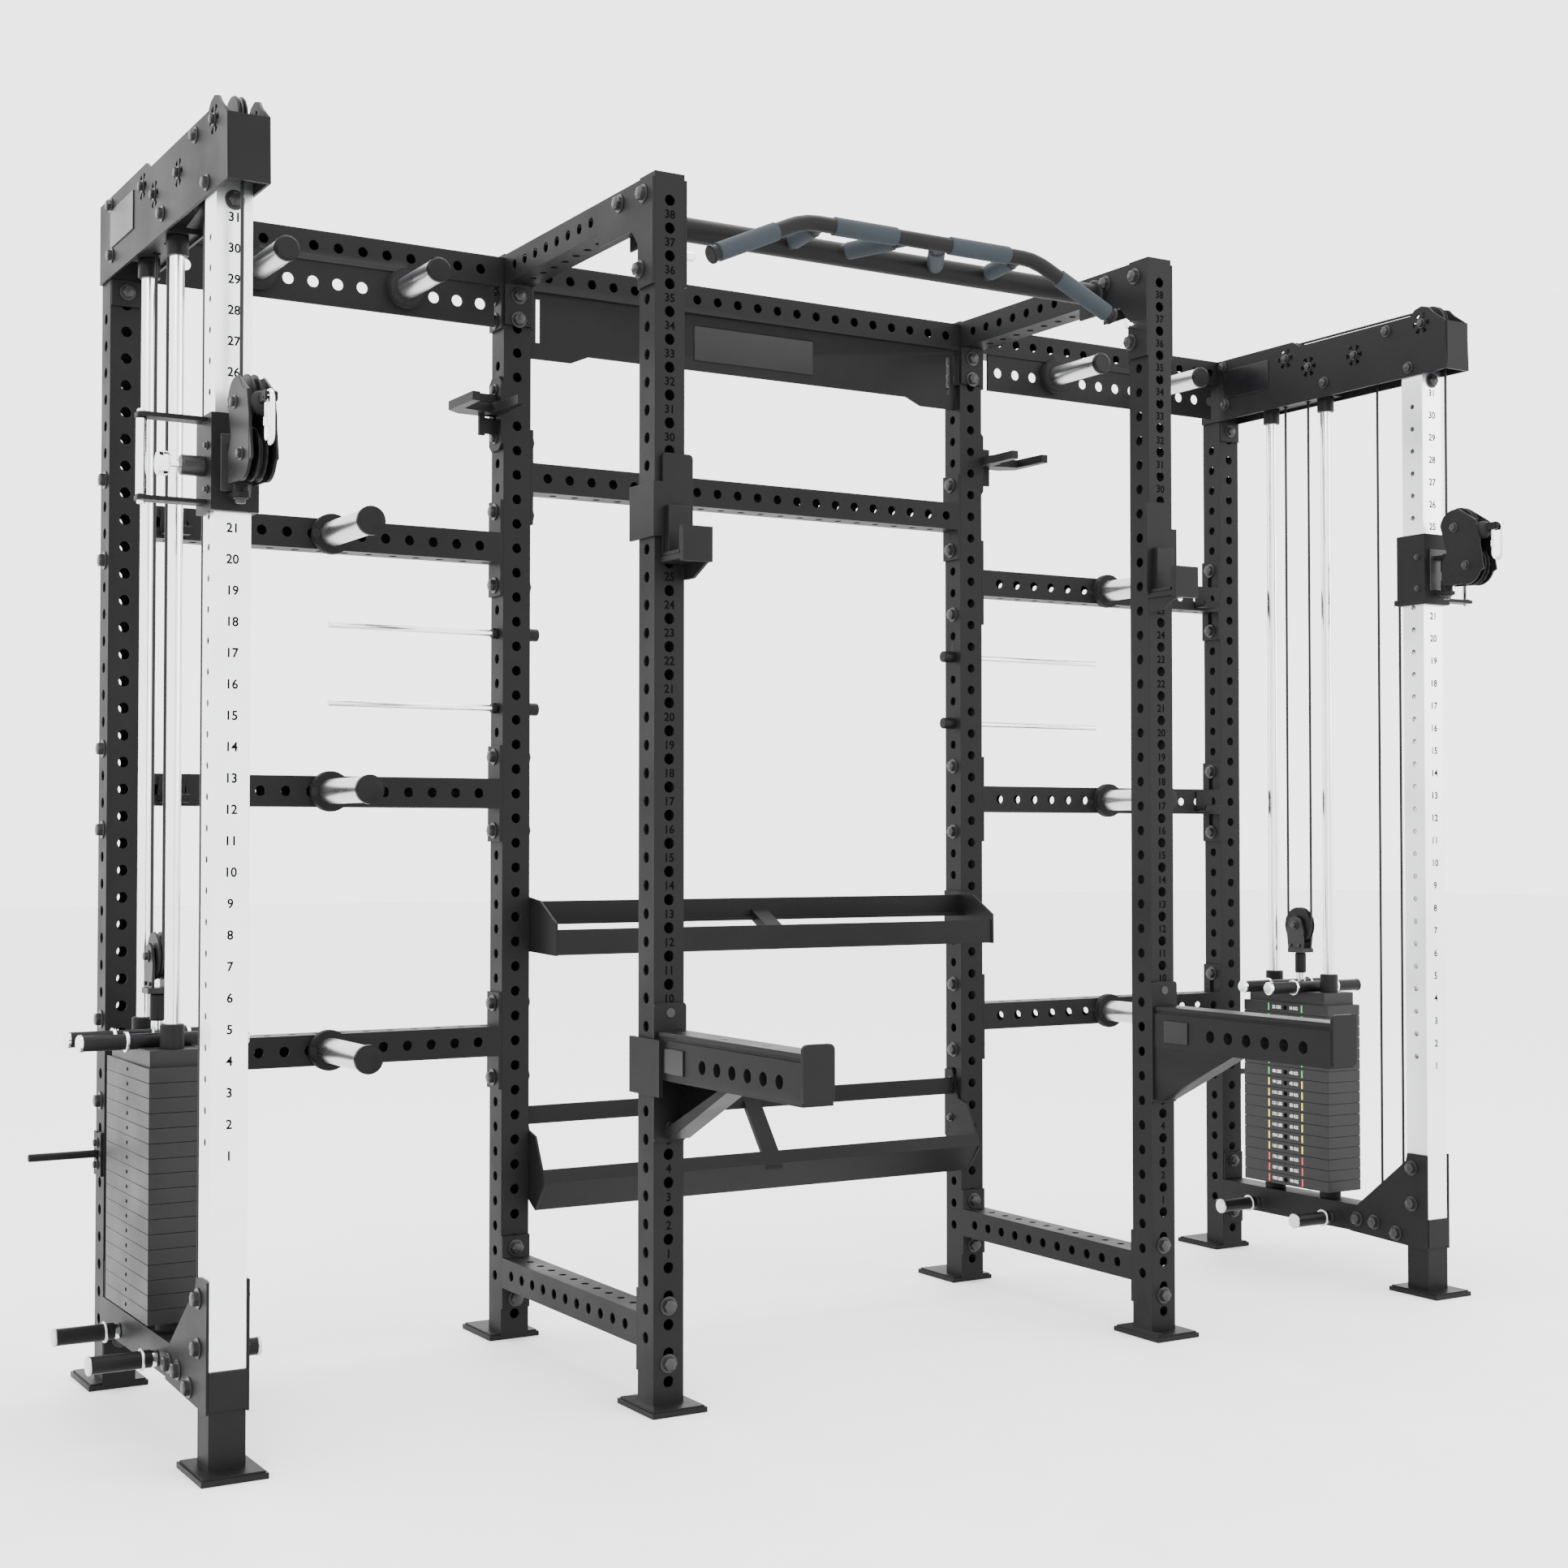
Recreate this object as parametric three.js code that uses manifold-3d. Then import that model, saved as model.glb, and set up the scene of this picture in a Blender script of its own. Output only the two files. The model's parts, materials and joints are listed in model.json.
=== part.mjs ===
// Cable crossover station: a power rack between two cable towers.
// Millimetres, +Z up, +X to the right of a user who faces the rack, +Y to the back.
import * as THREE from 'three';
import { mergeVertices } from 'three/addons/utils/BufferGeometryUtils.js';
import Module from 'manifold-3d';

const wasm = await Module();
wasm.setup();

// Layout. The rack's four uprights are centred on x = 0, y = 0 here; CENTRE_Y moves the whole
// machine so that the middle of its footprint is the origin.
const CENTRE_Y = 213;
const HALF = 30;
const WALL = 3;
const RACK_X = 569;
const TOWER_X = 1359;
const FRONT_Y = -330;
const REAR_Y = 330;
const TOP_Z = 2200;
const OUTER_TOP_Z = 2192;
const FOOT_T = 12;
const FIT = 0.3;
const HOLE_R = 10;

// Cable lines of one tower, and the pulleys that carry them.
const CABLE_R = 2.8;
const PITCH_R = 37;
const LINE_FRONT = -400;
const LINE_BASE = -197;
const LINE_ANCHOR = -261;
const LINE_STACK_FRONT = 24;
const LINE_STACK_REAR = 100;
const TOP_PULLEYS = [[-363, 2156], [-160, 2123], [63, 2156], [-13, 2123]];
const BASE_PULLEY = [-229, 135];
const BASE_PITCH_R = 32;
const STACK_PULLEY = [62, 803];
const STACK_PITCH_R = 38;

// Weight stack.
const STACK_Y = 60;
const STACK_LENGTH = 278;
const STACK_WIDTH = 101;
const PLATE_PITCH = 25.4;
const PLATE_COUNT = 17;
const LIFTED_PLATES = 4;
const STACK_BOTTOM = 189;
const ROD_YS = [-33, 148];
const ROD_R = 12.5;

// Carriage and swivel.
const UPPER_PULLEY = [-441, 1691];
const LOWER_PULLEY = [-474, 1605];
const SWIVEL_PITCH_R = 41;

function geometrySolid(geometry) {
  const bare = geometry.clone();
  bare.deleteAttribute('normal');
  bare.deleteAttribute('uv');
  const merged = mergeVertices(bare, 1e-4);
  const index = [];
  for (let i = 0; i < merged.index.count; i += 3) {
    const a = merged.index.getX(i);
    const b = merged.index.getX(i + 1);
    const c = merged.index.getX(i + 2);
    if (a !== b && b !== c && c !== a) index.push(a, b, c);
  }
  const mesh = new wasm.Mesh({
    numProp: 3,
    vertProperties: new Float32Array(merged.attributes.position.array),
    triVerts: new Uint32Array(index),
  });
  return new wasm.Manifold(mesh);
}

function moved(geometry, columns) {
  const basis = new THREE.Matrix4().makeBasis(...columns.map((c) => new THREE.Vector3(...c)));
  return geometry.applyMatrix4(basis);
}

function box(x0, x1, y0, y1, z0, z1) {
  const geometry = new THREE.BoxGeometry(x1 - x0, y1 - y0, z1 - z0);
  geometry.translate((x0 + x1) / 2, (y0 + y1) / 2, (z0 + z1) / 2);
  return geometrySolid(geometry);
}

function outlineShape(points) {
  return new THREE.Shape(points.map(([u, v]) => new THREE.Vector2(u, v)));
}

function roundedShape(u0, u1, v0, v1, r) {
  const shape = new THREE.Shape();
  shape.moveTo(u0 + r, v0);
  shape.lineTo(u1 - r, v0);
  shape.absarc(u1 - r, v0 + r, r, -Math.PI / 2, 0, false);
  shape.lineTo(u1, v1 - r);
  shape.absarc(u1 - r, v1 - r, r, 0, Math.PI / 2, false);
  shape.lineTo(u0 + r, v1);
  shape.absarc(u0 + r, v1 - r, r, Math.PI / 2, Math.PI, false);
  shape.lineTo(u0, v0 + r);
  shape.absarc(u0 + r, v0 + r, r, Math.PI, Math.PI * 1.5, false);
  return shape;
}

function extruded(shape, depth) {
  return new THREE.ExtrudeGeometry(shape, { depth, bevelEnabled: false, curveSegments: 3 });
}

// A plate with its outline in (y, z), from x0 to x1.
function plateX(shape, x0, x1) {
  const geometry = moved(extruded(shape, x1 - x0), [[0, 1, 0], [0, 0, 1], [1, 0, 0]]);
  geometry.translate(x0, 0, 0);
  return geometrySolid(geometry);
}

// A plate with its outline in (x, z), from y0 to y1.
function plateY(shape, y0, y1) {
  const geometry = moved(extruded(shape, y1 - y0), [[1, 0, 0], [0, 0, 1], [0, -1, 0]]);
  geometry.translate(0, y1, 0);
  return geometrySolid(geometry);
}

// A plate with its outline in (x, y), from z0 to z1.
function plateZ(shape, z0, z1) {
  const geometry = extruded(shape, z1 - z0);
  geometry.translate(0, 0, z0);
  return geometrySolid(geometry);
}

function rodX(x0, x1, y, z, r, segments = 12) {
  const geometry = new THREE.CylinderGeometry(r, r, x1 - x0, segments);
  geometry.rotateZ(Math.PI / 2);
  geometry.translate((x0 + x1) / 2, y, z);
  return geometrySolid(geometry);
}

function rodY(x, y0, y1, z, r, segments = 14) {
  const geometry = new THREE.CylinderGeometry(r, r, y1 - y0, segments);
  geometry.translate(x, (y0 + y1) / 2, z);
  return geometrySolid(geometry);
}

function rodZ(x, y, z0, z1, r, segments = 14) {
  const geometry = new THREE.CylinderGeometry(r, r, z1 - z0, segments);
  geometry.rotateX(Math.PI / 2);
  geometry.translate(x, y, (z0 + z1) / 2);
  return geometrySolid(geometry);
}

function ball(x, y, z, r) {
  const geometry = new THREE.SphereGeometry(r, 12, 8);
  geometry.translate(x, y, z);
  return geometrySolid(geometry);
}

function bar(from, to, r, segments = 12) {
  const a = new THREE.Vector3(...from);
  const b = new THREE.Vector3(...to);
  const geometry = new THREE.CylinderGeometry(r, r, a.distanceTo(b), segments);
  const turn = new THREE.Quaternion().setFromUnitVectors(
    new THREE.Vector3(0, 1, 0), b.clone().sub(a).normalize());
  geometry.applyQuaternion(turn);
  const middle = a.clone().add(b).multiplyScalar(0.5);
  geometry.translate(middle.x, middle.y, middle.z);
  return geometrySolid(geometry);
}

// A round bar swept through points that lie in one plane; `side` is the plane's normal.
function sweep(points, side, r, segments, closed = false) {
  const normal = new THREE.Vector3(...side);
  const list = points.map((p) => new THREE.Vector3(...p));
  const count = list.length;
  const position = [];
  const index = [];
  list.forEach((p, i) => {
    const before = closed ? list[(i + count - 1) % count] : list[Math.max(i - 1, 0)];
    const after = closed ? list[(i + 1) % count] : list[Math.min(i + 1, count - 1)];
    const into = p.clone().sub(before).normalize();
    const out = after.clone().sub(p).normalize();
    const tangent = into.clone().add(out).normalize();
    const across = new THREE.Vector3().crossVectors(tangent, normal).normalize();
    const stretch = 1 / Math.max(0.4, Math.max(tangent.dot(into), tangent.dot(out)));
    for (let k = 0; k < segments; k += 1) {
      const a = (2 * Math.PI * k) / segments;
      const q = p.clone().addScaledVector(normal, r * Math.cos(a))
        .addScaledVector(across, r * stretch * Math.sin(a));
      position.push(q.x, q.y, q.z);
    }
  });
  const spans = closed ? count : count - 1;
  for (let i = 0; i < spans; i += 1) {
    const here = i * segments;
    const there = ((i + 1) % count) * segments;
    for (let k = 0; k < segments; k += 1) {
      const next = (k + 1) % segments;
      index.push(here + k, here + next, there + next, here + k, there + next, there + k);
    }
  }
  if (!closed) {
    const last = (count - 1) * segments;
    for (let k = 1; k < segments - 1; k += 1) {
      index.push(0, k + 1, k, last, last + k, last + k + 1);
    }
  }
  const geometry = new THREE.BufferGeometry();
  geometry.setAttribute('position', new THREE.Float32BufferAttribute(position, 3));
  geometry.setIndex(index);
  return geometrySolid(geometry);
}

// A grooved pulley about an axis along X. Cable of pitch radius `pitch` runs in the groove.
function pulley(x, [y, z], pitch, width = 15) {
  const rim = pitch + 4;
  const floor = pitch - CABLE_R - 1.3;
  const half = width / 2;
  const points = [[0, -half], [rim, -half], [rim, -half + 2.5], [floor, -3.4], [floor, 3.4],
    [rim, half - 2.5], [rim, half], [0, half]].map(([r, h]) => new THREE.Vector2(r, h));
  const geometry = new THREE.LatheGeometry(points, 16);
  geometry.rotateZ(Math.PI / 2);
  geometry.translate(x, y, z);
  return geometrySolid(geometry);
}

function union(list) {
  return list.reduce((total, next) => total.add(next));
}

function cut(solid, tools) {
  return tools.reduce((total, next) => total.subtract(next), solid);
}

// A square bar along one axis, `h` either side of its centre line.
function square(axis, a, b, c, d, h) {
  if (axis === 'x') return box(a, b, c - h, c + h, d - h, d + h);
  if (axis === 'y') return box(c - h, c + h, a, b, d - h, d + h);
  return box(c - h, c + h, d - h, d + h, a, b);
}

// A hollow square tube along one axis, open at both ends. `fittings` are joined on before the
// hollow is cut, so plates across its ends stay open in the middle.
function tube(axis, a, b, c, d, fittings = []) {
  const whole = union([square(axis, a, b, c, d, HALF), ...fittings]);
  return whole.subtract(square(axis, a - 1, b + 1, c, d, HALF - WALL));
}

const materials = {
  black: new THREE.MeshStandardMaterial({ name: 'powder_coat', color: 0x2b2b2c, metalness: 0.3, roughness: 0.6 }),
  chrome: new THREE.MeshStandardMaterial({ name: 'chrome', color: 0xd8d9da, metalness: 1, roughness: 0.15 }),
  plastic: new THREE.MeshStandardMaterial({ name: 'plastic', color: 0x18181a, metalness: 0, roughness: 0.5 }),
  cable: new THREE.MeshStandardMaterial({ name: 'cable_coat', color: 0x0f0f10, metalness: 0, roughness: 0.4 }),
};

const group = new THREE.Group();

function addPiece(name, solid, material) {
  const raw = solid.getMesh();
  const geometry = new THREE.BufferGeometry();
  const positions = new Float32Array(raw.vertProperties);
  geometry.setAttribute('position', new THREE.BufferAttribute(positions, 3));
  geometry.setIndex(new THREE.BufferAttribute(new Uint32Array(raw.triVerts), 1));
  geometry.translate(0, CENTRE_Y, 0);
  const flat = geometry.toNonIndexed();
  flat.computeVertexNormals();
  const mesh = new THREE.Mesh(flat, material);
  mesh.name = name;
  group.add(mesh);
}

// Builders work on the right-hand side; the left-hand piece is the mirror image.
function addPair(name, solid, material) {
  addPiece(`${name}_right`, solid, material);
  addPiece(`${name}_left`, solid.mirror([1, 0, 0]), material);
}

function footPlate(x, y0, y1) {
  const plate = box(x - 54, x + 54, y0, y1, 0, 9);
  const rim = box(x - 50, x + 50, y0 + 4, y1 - 4, 8, FOOT_T);
  return plate.add(rim);
}

function upright(x, y, topZ, holesZ, footY0, footY1) {
  const post = tube('z', 5, topZ, x, y);
  const holes = holesZ.map((z) => rodY(x, y - HALF - 5, y + HALF + 5, z, HOLE_R, 14));
  return cut(footPlate(x, footY0, footY1).add(post), holes);
}

// ---------------------------------------------------------------- uprights
const J_CUP_PINS = [1650, 1550];
const ARM_PINS = [700, 500];
addPair('upright_front',
  upright(RACK_X, FRONT_Y, TOP_Z, [...J_CUP_PINS, ...ARM_PINS], -405, -267), materials.black);

function rearUpright() {
  const y = REAR_Y;
  const outer = RACK_X + HALF;
  const hangerPlate = plateX(outlineShape([[300, 1812], [312, 1800], [348, 1800], [360, 1812],
    [360, 1939], [348, 1951], [312, 1951], [300, 1939]]), outer, outer + 6);
  const flange = box(outer, outer + 42, y - 4, y + 4, 1830, 1915);
  const root = box(outer, outer + 28, 262, 345, 1872, 1890);
  const innerProng = box(outer + 4, outer + 20, 186, 270, 1872, 1890);
  const outerProng = plateZ(outlineShape([[outer + 20, 300], [outer + 20, 345], [outer + 80, 345],
    [outer + 112, 320], [outer + 112, 196], [outer + 96, 196], [outer + 92, 285]]), 1872, 1890);
  const rods = [1427, 1274].map((z) => rodX(outer - 5, 956, y, z, 6, 12));
  const heads = [1427, 1274].map((z) => rodX(510, RACK_X - HALF + 3, y, z, 12.5, 12));
  const post = upright(RACK_X, y, TOP_Z, [], 300, 440);
  return union([post, hangerPlate, flange, root, innerProng, outerProng, ...rods, ...heads]);
}
addPair('upright_rear', rearUpright(), materials.black);

function outerUpright() {
  const post = upright(TOWER_X, REAR_Y, OUTER_TOP_Z, [], 300, 440);
  const face = TOWER_X + HALF;
  const plate = box(face - 1, face + 5, 305, 355, 388, 468);
  const horn = rodX(face, 1517, REAR_Y, 428, 6, 12);
  return union([post, plate, horn]);
}
addPair('upright_outer', outerUpright(), materials.black);

// ---------------------------------------------------------------- towers
function guideColumn() {
  return tube('z', 166 + FIT, 2100, TOWER_X, FRONT_Y);
}
addPair('guide_column', guideColumn(), materials.chrome);

function columnBase() {
  const x = TOWER_X;
  const foot = footPlate(x, -405, -267);
  const post = box(x - HALF, x + HALF, -360, -300, 5, 166);
  const gusset = outlineShape([[-362, 100], [-362, 308], [-305, 308], [-300, 290], [-150, 170],
    [-130, 164], [-130, 110]]);
  const cheeks = [plateX(gusset, x - 35, x - 31), plateX(gusset, x + 31, x + 35)];
  const sleeve = box(x - 31, x + 31, -364, -361, 104, 166);
  const filler = box(x - 32, x + 32, -362, -270, 112, 160);
  const beam = box(x - HALF, x + HALF, -185, REAR_Y - HALF - FIT, 110, 170);
  const spacer = box(x - 32, x + 32, -170, -140, 112, 164);
  const axle = rodX(x - 32, x + 32, BASE_PULLEY[0], BASE_PULLEY[1], 7);
  const base = pulley(x, BASE_PULLEY, BASE_PITCH_R);
  const pegs = [182, -63].map((y) => rodX(x - 142, x + 142, y, 131, 13.5));
  const guides = ROD_YS.map((y) => rodZ(x, y, 165, 2040, ROD_R));
  const bumpers = ROD_YS.map((y) => rodZ(x, y, 168, STACK_BOTTOM - FIT, 24));
  const collars = ROD_YS.map((y) => rodZ(x, y, 2016, 2050, 19));
  return union([foot, post, ...cheeks, sleeve, filler, beam, spacer, axle, base, ...pegs,
    ...guides, ...bumpers, ...collars]);
}
addPair('column_base', columnBase(), materials.black);

function pulleyHousing() {
  const x = TOWER_X;
  const [earY, earZ] = TOP_PULLEYS[0];
  const ear = [35, 60, 90, 120, 150].map(THREE.MathUtils.degToRad)
    .map((a) => [earY + 39 * Math.cos(a), earZ + 39 * Math.sin(a)]);
  const side = outlineShape([[360, 2044], [360, 2192], [40, 2192], [16, 2178], ...ear,
    [-432, 2151], [-436, 2044]]);
  const cheeks = [plateX(side, x - 35, x - 30 - FIT), plateX(side, x + 30 + FIT, x + 35)];
  const nose = box(x - 32, x + 32, -436, -431, 2044, 2150);
  const cableRoom = [LINE_STACK_FRONT, LINE_STACK_REAR].map((y) => rodZ(x, y, 2045, 2065, 8));
  const rodBlock = cut(box(x - 32, x + 32, -60, 175, 2050 + FIT, 2060), cableRoom);
  const axles = TOP_PULLEYS.map(([y, z]) => rodX(x - 39, x + 39, y, z, 8));
  const wheels = TOP_PULLEYS.map((centre) => pulley(x, centre, PITCH_R));
  return union([...cheeks, nose, rodBlock, ...axles, ...wheels]);
}
addPair('pulley_housing', pulleyHousing(), materials.black);

// ---------------------------------------------------------------- frame beams
const RACK_INNER = RACK_X - HALF - FIT;
const RACK_OUTER = RACK_X + HALF + FIT;
const TOWER_INNER = TOWER_X - HALF - FIT;

function flangeX(x, y, z, height, t = 6) {
  return box(x, x + t, y - HALF, y + HALF, z - height / 2, z + height / 2);
}

function headerBeam() {
  const end = RACK_INNER - 1;
  const panel = plateY(outlineShape([[-end, 2134], [-end, 1996], [-440, 1996], [-400, 2013],
    [400, 2013], [440, 1996], [end, 1996], [end, 2134]]), 316, 320);
  const flanges = [flangeX(-RACK_INNER, REAR_Y, 2122, 140), flangeX(RACK_INNER - 6, REAR_Y, 2122, 140)];
  return tube('x', -RACK_INNER, RACK_INNER, REAR_Y, 2162, [panel, ...flanges]);
}
addPiece('header_beam', headerBeam(), materials.black);

function midCrossbar() {
  const z = 1748;
  const flanges = [flangeX(-RACK_INNER, REAR_Y, z, 195), flangeX(RACK_INNER - 6, REAR_Y, z, 195)];
  return tube('x', -RACK_INNER, RACK_INNER, REAR_Y, z, flanges);
}
addPiece('mid_crossbar', midCrossbar(), materials.black);

function wingTopBeam() {
  const end = TOWER_X - 35 - FIT;
  const plate = box(RACK_OUTER + 20, end - 20, 303, 307, 2048, 2134);
  const flange = flangeX(RACK_OUTER, REAR_Y, 2120, 144);
  const pegs = [812, 1112].map((x) => rodY(x, 120, 305, 2100, 22));
  const discs = [812, 1112].map((x) => rodY(x, 285, 304, 2100, 39, 20));
  return tube('x', RACK_OUTER, end, REAR_Y, 2162, [plate, flange, ...pegs, ...discs]);
}
addPair('wing_top_beam', wingTopBeam(), materials.black);

function wingCrossbar(z) {
  const flanges = [flangeX(RACK_OUTER, REAR_Y, z, 195), flangeX(TOWER_INNER - 6, REAR_Y, z, 195)];
  const disc = rodY(964, 284, 301, z, 39, 20);
  const peg = rodY(964, 80, 290, z, 24, 20);
  const cap = rodY(964, 72, 81, z, 27, 20);
  return tube('x', RACK_OUTER, TOWER_INNER, REAR_Y, z, [...flanges, disc, peg, cap]);
}
for (const [name, z] of [['high', 1600], ['middle', 1100], ['low', 600]]) {
  addPair(`wing_crossbar_${name}`, wingCrossbar(z), materials.black);
}

function sideBeamTop() {
  const gusset = outlineShape([[-360, 2190], [-143, 2190], [-143, 2110], [-276, 2110],
    [-302, 2079], [-302, 1997], [-360, 1997]]);
  const plates = [plateX(gusset, RACK_X - 35, RACK_X - HALF - FIT),
    plateX(gusset, RACK_X + HALF + FIT, RACK_X + 35)];
  const ties = box(RACK_X - 34, RACK_X + 34, -230, -150, 2140, 2190);
  const rear = box(RACK_X - HALF, RACK_X + HALF, REAR_Y - HALF - FIT - 6, REAR_Y - HALF - FIT, 2055, 2197);
  return tube('y', FRONT_Y + HALF + FIT, REAR_Y - HALF - FIT, RACK_X, 2167, [...plates, ties, rear]);
}
addPair('side_beam_top', sideBeamTop(), materials.black);

function sideBeamBottom() {
  const y0 = FRONT_Y + HALF + FIT;
  const y1 = REAR_Y - HALF - FIT;
  const ends = [box(RACK_X - HALF, RACK_X + HALF, y0, y0 + 6, 62, 208),
    box(RACK_X - HALF, RACK_X + HALF, y1 - 6, y1, 62, 208)];
  return tube('y', y0, y1, RACK_X, 135, ends);
}
addPair('side_beam_bottom', sideBeamBottom(), materials.black);

// ---------------------------------------------------------------- pull-up bar and shelves
function pullUpBar() {
  const reach = RACK_X - 35 - FIT;
  const tubeBar = rodX(-reach, reach, -200, 2152, 23, 20);
  const bent = sweep([[-465, -330, 2074], [-269, -330, 2163], [269, -330, 2163],
    [465, -330, 2074]], [0, 1, 0], 15, 14);
  const links = [-1, 1].flatMap((s) => [
    bar([s * 232, -200, 2152], [s * 232, -330, 2163], 15),
    bar([s * 118, -200, 2152], [s * 36, -330, 2163], 15)]);
  const collars = [-1, 1].map((s) => rodX(s > 0 ? reach - 12 : -reach, s > 0 ? reach : -reach + 12,
    -200, 2152, 32, 20));
  return union([tubeBar, bent, ...links, ...collars]);
}
addPiece('pull_up_bar', pullUpBar(), materials.black);

const SHELF_X = RACK_X - HALF - FIT;

function upperShelf() {
  const side = outlineShape([[311, 890], [252, 883], [175, 840], [174, 775], [310, 779], [359, 779],
    [359, 890]]);
  const cheeks = [plateX(side, SHELF_X - 5, SHELF_X), plateX(side, -SHELF_X, -SHELF_X + 5)];
  const rear = box(-SHELF_X + 1, SHELF_X - 1, 296, 302, 834, 881);
  const front = box(-SHELF_X + 1, SHELF_X - 1, 178, 184, 776, 827);
  const frontLip = box(-SHELF_X + 1, SHELF_X - 1, 178, 204, 776, 780);
  const rearLip = box(-SHELF_X + 1, SHELF_X - 1, 278, 302, 834, 838);
  const strut = plateX(outlineShape([[182, 778], [182, 800], [297, 858], [297, 836]]), -20, 20);
  return union([...cheeks, rear, front, frontLip, rearLip, strut]);
}
addPiece('upper_shelf', upperShelf(), materials.black);

function lowerShelf() {
  const side = outlineShape([[307, 416], [272, 407], [225, 316], [271, 259], [306, 279], [359, 330],
    [359, 480], [330, 480]]);
  const cheeks = [plateX(side, SHELF_X - 5, SHELF_X), plateX(side, -SHELF_X, -SHELF_X + 5)];
  const rear = box(-SHELF_X + 1, SHELF_X - 1, 326, 332, 425, 462);
  const face = plateX(outlineShape([[226, 318], [232, 320], [278, 262], [272, 258]]), -SHELF_X + 1, SHELF_X - 1);
  const lip = plateX(outlineShape([[226, 318], [232, 320], [242, 342], [236, 344]]), -SHELF_X + 1, SHELF_X - 1);
  const strut = plateX(outlineShape([[229, 322], [229, 306], [327, 428], [327, 446]]), -20, 20);
  return union([...cheeks, rear, face, lip, strut]);
}
addPiece('lower_shelf', lowerShelf(), materials.black);

// ---------------------------------------------------------------- J-cups and spotter arms
function jCup() {
  const face = FRONT_Y - HALF - FIT;
  const front = plateY(roundedShape(526, 587, 1504, 1695, 8), face - 8, face);
  const bridge = box(582, 605, face - 8, face, 1545, 1643);
  const side = box(RACK_X + HALF + FIT, 605, face - 1, -273, 1545, 1643);
  const seat = box(531, 590, -444, face, 1498, 1508);
  const lip = box(531, 590, -450, -438, 1494, 1556);
  const web = plateX(outlineShape([[face - 4, 1470], [face - 4, 1500], [-440, 1500], [-446, 1494],
    [-395, 1470]]), 536, 542);
  const liner = box(541, 582, face - 20, face - 7, 1507, 1585);
  const pins = J_CUP_PINS.map((z) => rodY(RACK_X, face - 4, face + 24, z, HOLE_R - 1));
  return union([front, bridge, side, seat, lip, web, liner, ...pins]);
}
addPair('j_cup', jCup(), materials.black);

function spotterArm() {
  const face = FRONT_Y - HALF - FIT;
  const front = plateY(roundedShape(537, 602, 473, 718, 8), face - 6, face);
  const side = box(RACK_X + HALF + FIT, 606, -393, -278, 555, 655);
  const sideJoin = box(598, 606, -393, face, 555, 655);
  const beam = box(540, 598, -860, face - 3, 585, 655);
  const strip = box(543, 595, -856, face - 5, 654, 668);
  const endPlate = plateY(roundedShape(541, 600, 588, 684, 10), -866, -858);
  const brace = plateX(outlineShape([[face - 5, 480], [-387, 480], [-600, 586], [-570, 586],
    [face - 5, 494]]), 541, 582);
  const web = plateX(outlineShape([[face - 5, 482], [-387, 482], [-590, 586], [face - 5, 586]]), 541, 546);
  const pins = ARM_PINS.map((z) => rodY(RACK_X, face - 3, face + 24, z, HOLE_R - 1));
  return union([front, side, sideJoin, beam, strip, endPlate, brace, web, ...pins]);
}
addPair('spotter_arm', spotterArm(), materials.black);

// ---------------------------------------------------------------- weight stacks
function stackSlab(z0, count, stemHole) {
  const w = STACK_WIDTH / 2;
  const l = STACK_LENGTH / 2;
  const core = box(TOWER_X - w + 2, TOWER_X + w - 2, STACK_Y - l + 2, STACK_Y + l - 2,
    z0 + 1, z0 + count * PLATE_PITCH - 1);
  const plates = [];
  for (let i = 0; i < count; i += 1) {
    const z = z0 + i * PLATE_PITCH;
    plates.push(box(TOWER_X - w, TOWER_X + w, STACK_Y - l, STACK_Y + l, z + 0.6, z + PLATE_PITCH - 0.6));
  }
  const rods = ROD_YS.map((y) => rodZ(TOWER_X, y, z0 - 5, z0 + count * PLATE_PITCH + 5, ROD_R + 1.5));
  const stem = stemHole ? [rodZ(TOWER_X, STACK_Y, z0 - 5, z0 + count * PLATE_PITCH + 5, 10)] : [];
  return cut(union([core, ...plates]), [...rods, ...stem]);
}
const RESTING = PLATE_COUNT - LIFTED_PLATES;
const LIFTED_Z = STACK_BOTTOM + RESTING * PLATE_PITCH;
const HEAD_Z = STACK_BOTTOM + PLATE_COUNT * PLATE_PITCH;
const PIN_Z = LIFTED_Z + PLATE_PITCH / 2;
addPair('stack_plates', stackSlab(STACK_BOTTOM, RESTING, true), materials.black);

function stackHead() {
  const x = TOWER_X;
  const slab = stackSlab(LIFTED_Z, LIFTED_PLATES, false);
  const head = box(x - 46, x + 46, STACK_Y - 124, STACK_Y + 124, HEAD_Z - 2, HEAD_Z + 28);
  const bushes = ROD_YS.map((y) => rodZ(x, y, HEAD_Z + 20, 690, 20));
  const bars = [17, 103].map((y) => rodX(x - 140, x + 140, y, 659, 13));
  const stem = rodZ(x, STACK_Y, HEAD_Z + 20, 745, 10);
  const lower = rodZ(x, STACK_Y, 200, LIFTED_Z + 10, 8);
  const foot = box(x - 22, x + 22, STACK_Y - 20, STACK_Y + 20, 738, 748);
  const cheek = outlineShape([[40, 738], [34, 790], [44, 818], [62, 826], [80, 818], [90, 790], [84, 738]]);
  const cheeks = [plateX(cheek, x - 16, x - 11), plateX(cheek, x + 11, x + 16)];
  const hub = rodX(x - 18, x + 18, STACK_PULLEY[0], STACK_PULLEY[1], 6, 16);
  const boresZ = ROD_YS.map((y) => rodZ(x, y, HEAD_Z - 10, 700, ROD_R + 1.5));
  const pinBore = rodX(x - 60, x - 8.3, STACK_Y, PIN_Z, 5.5, 16);
  return cut(union([slab, head, ...bushes, ...bars, stem, lower, foot, ...cheeks, hub]),
    [...boresZ, pinBore]);
}
addPair('stack_head', stackHead(), materials.black);

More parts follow.
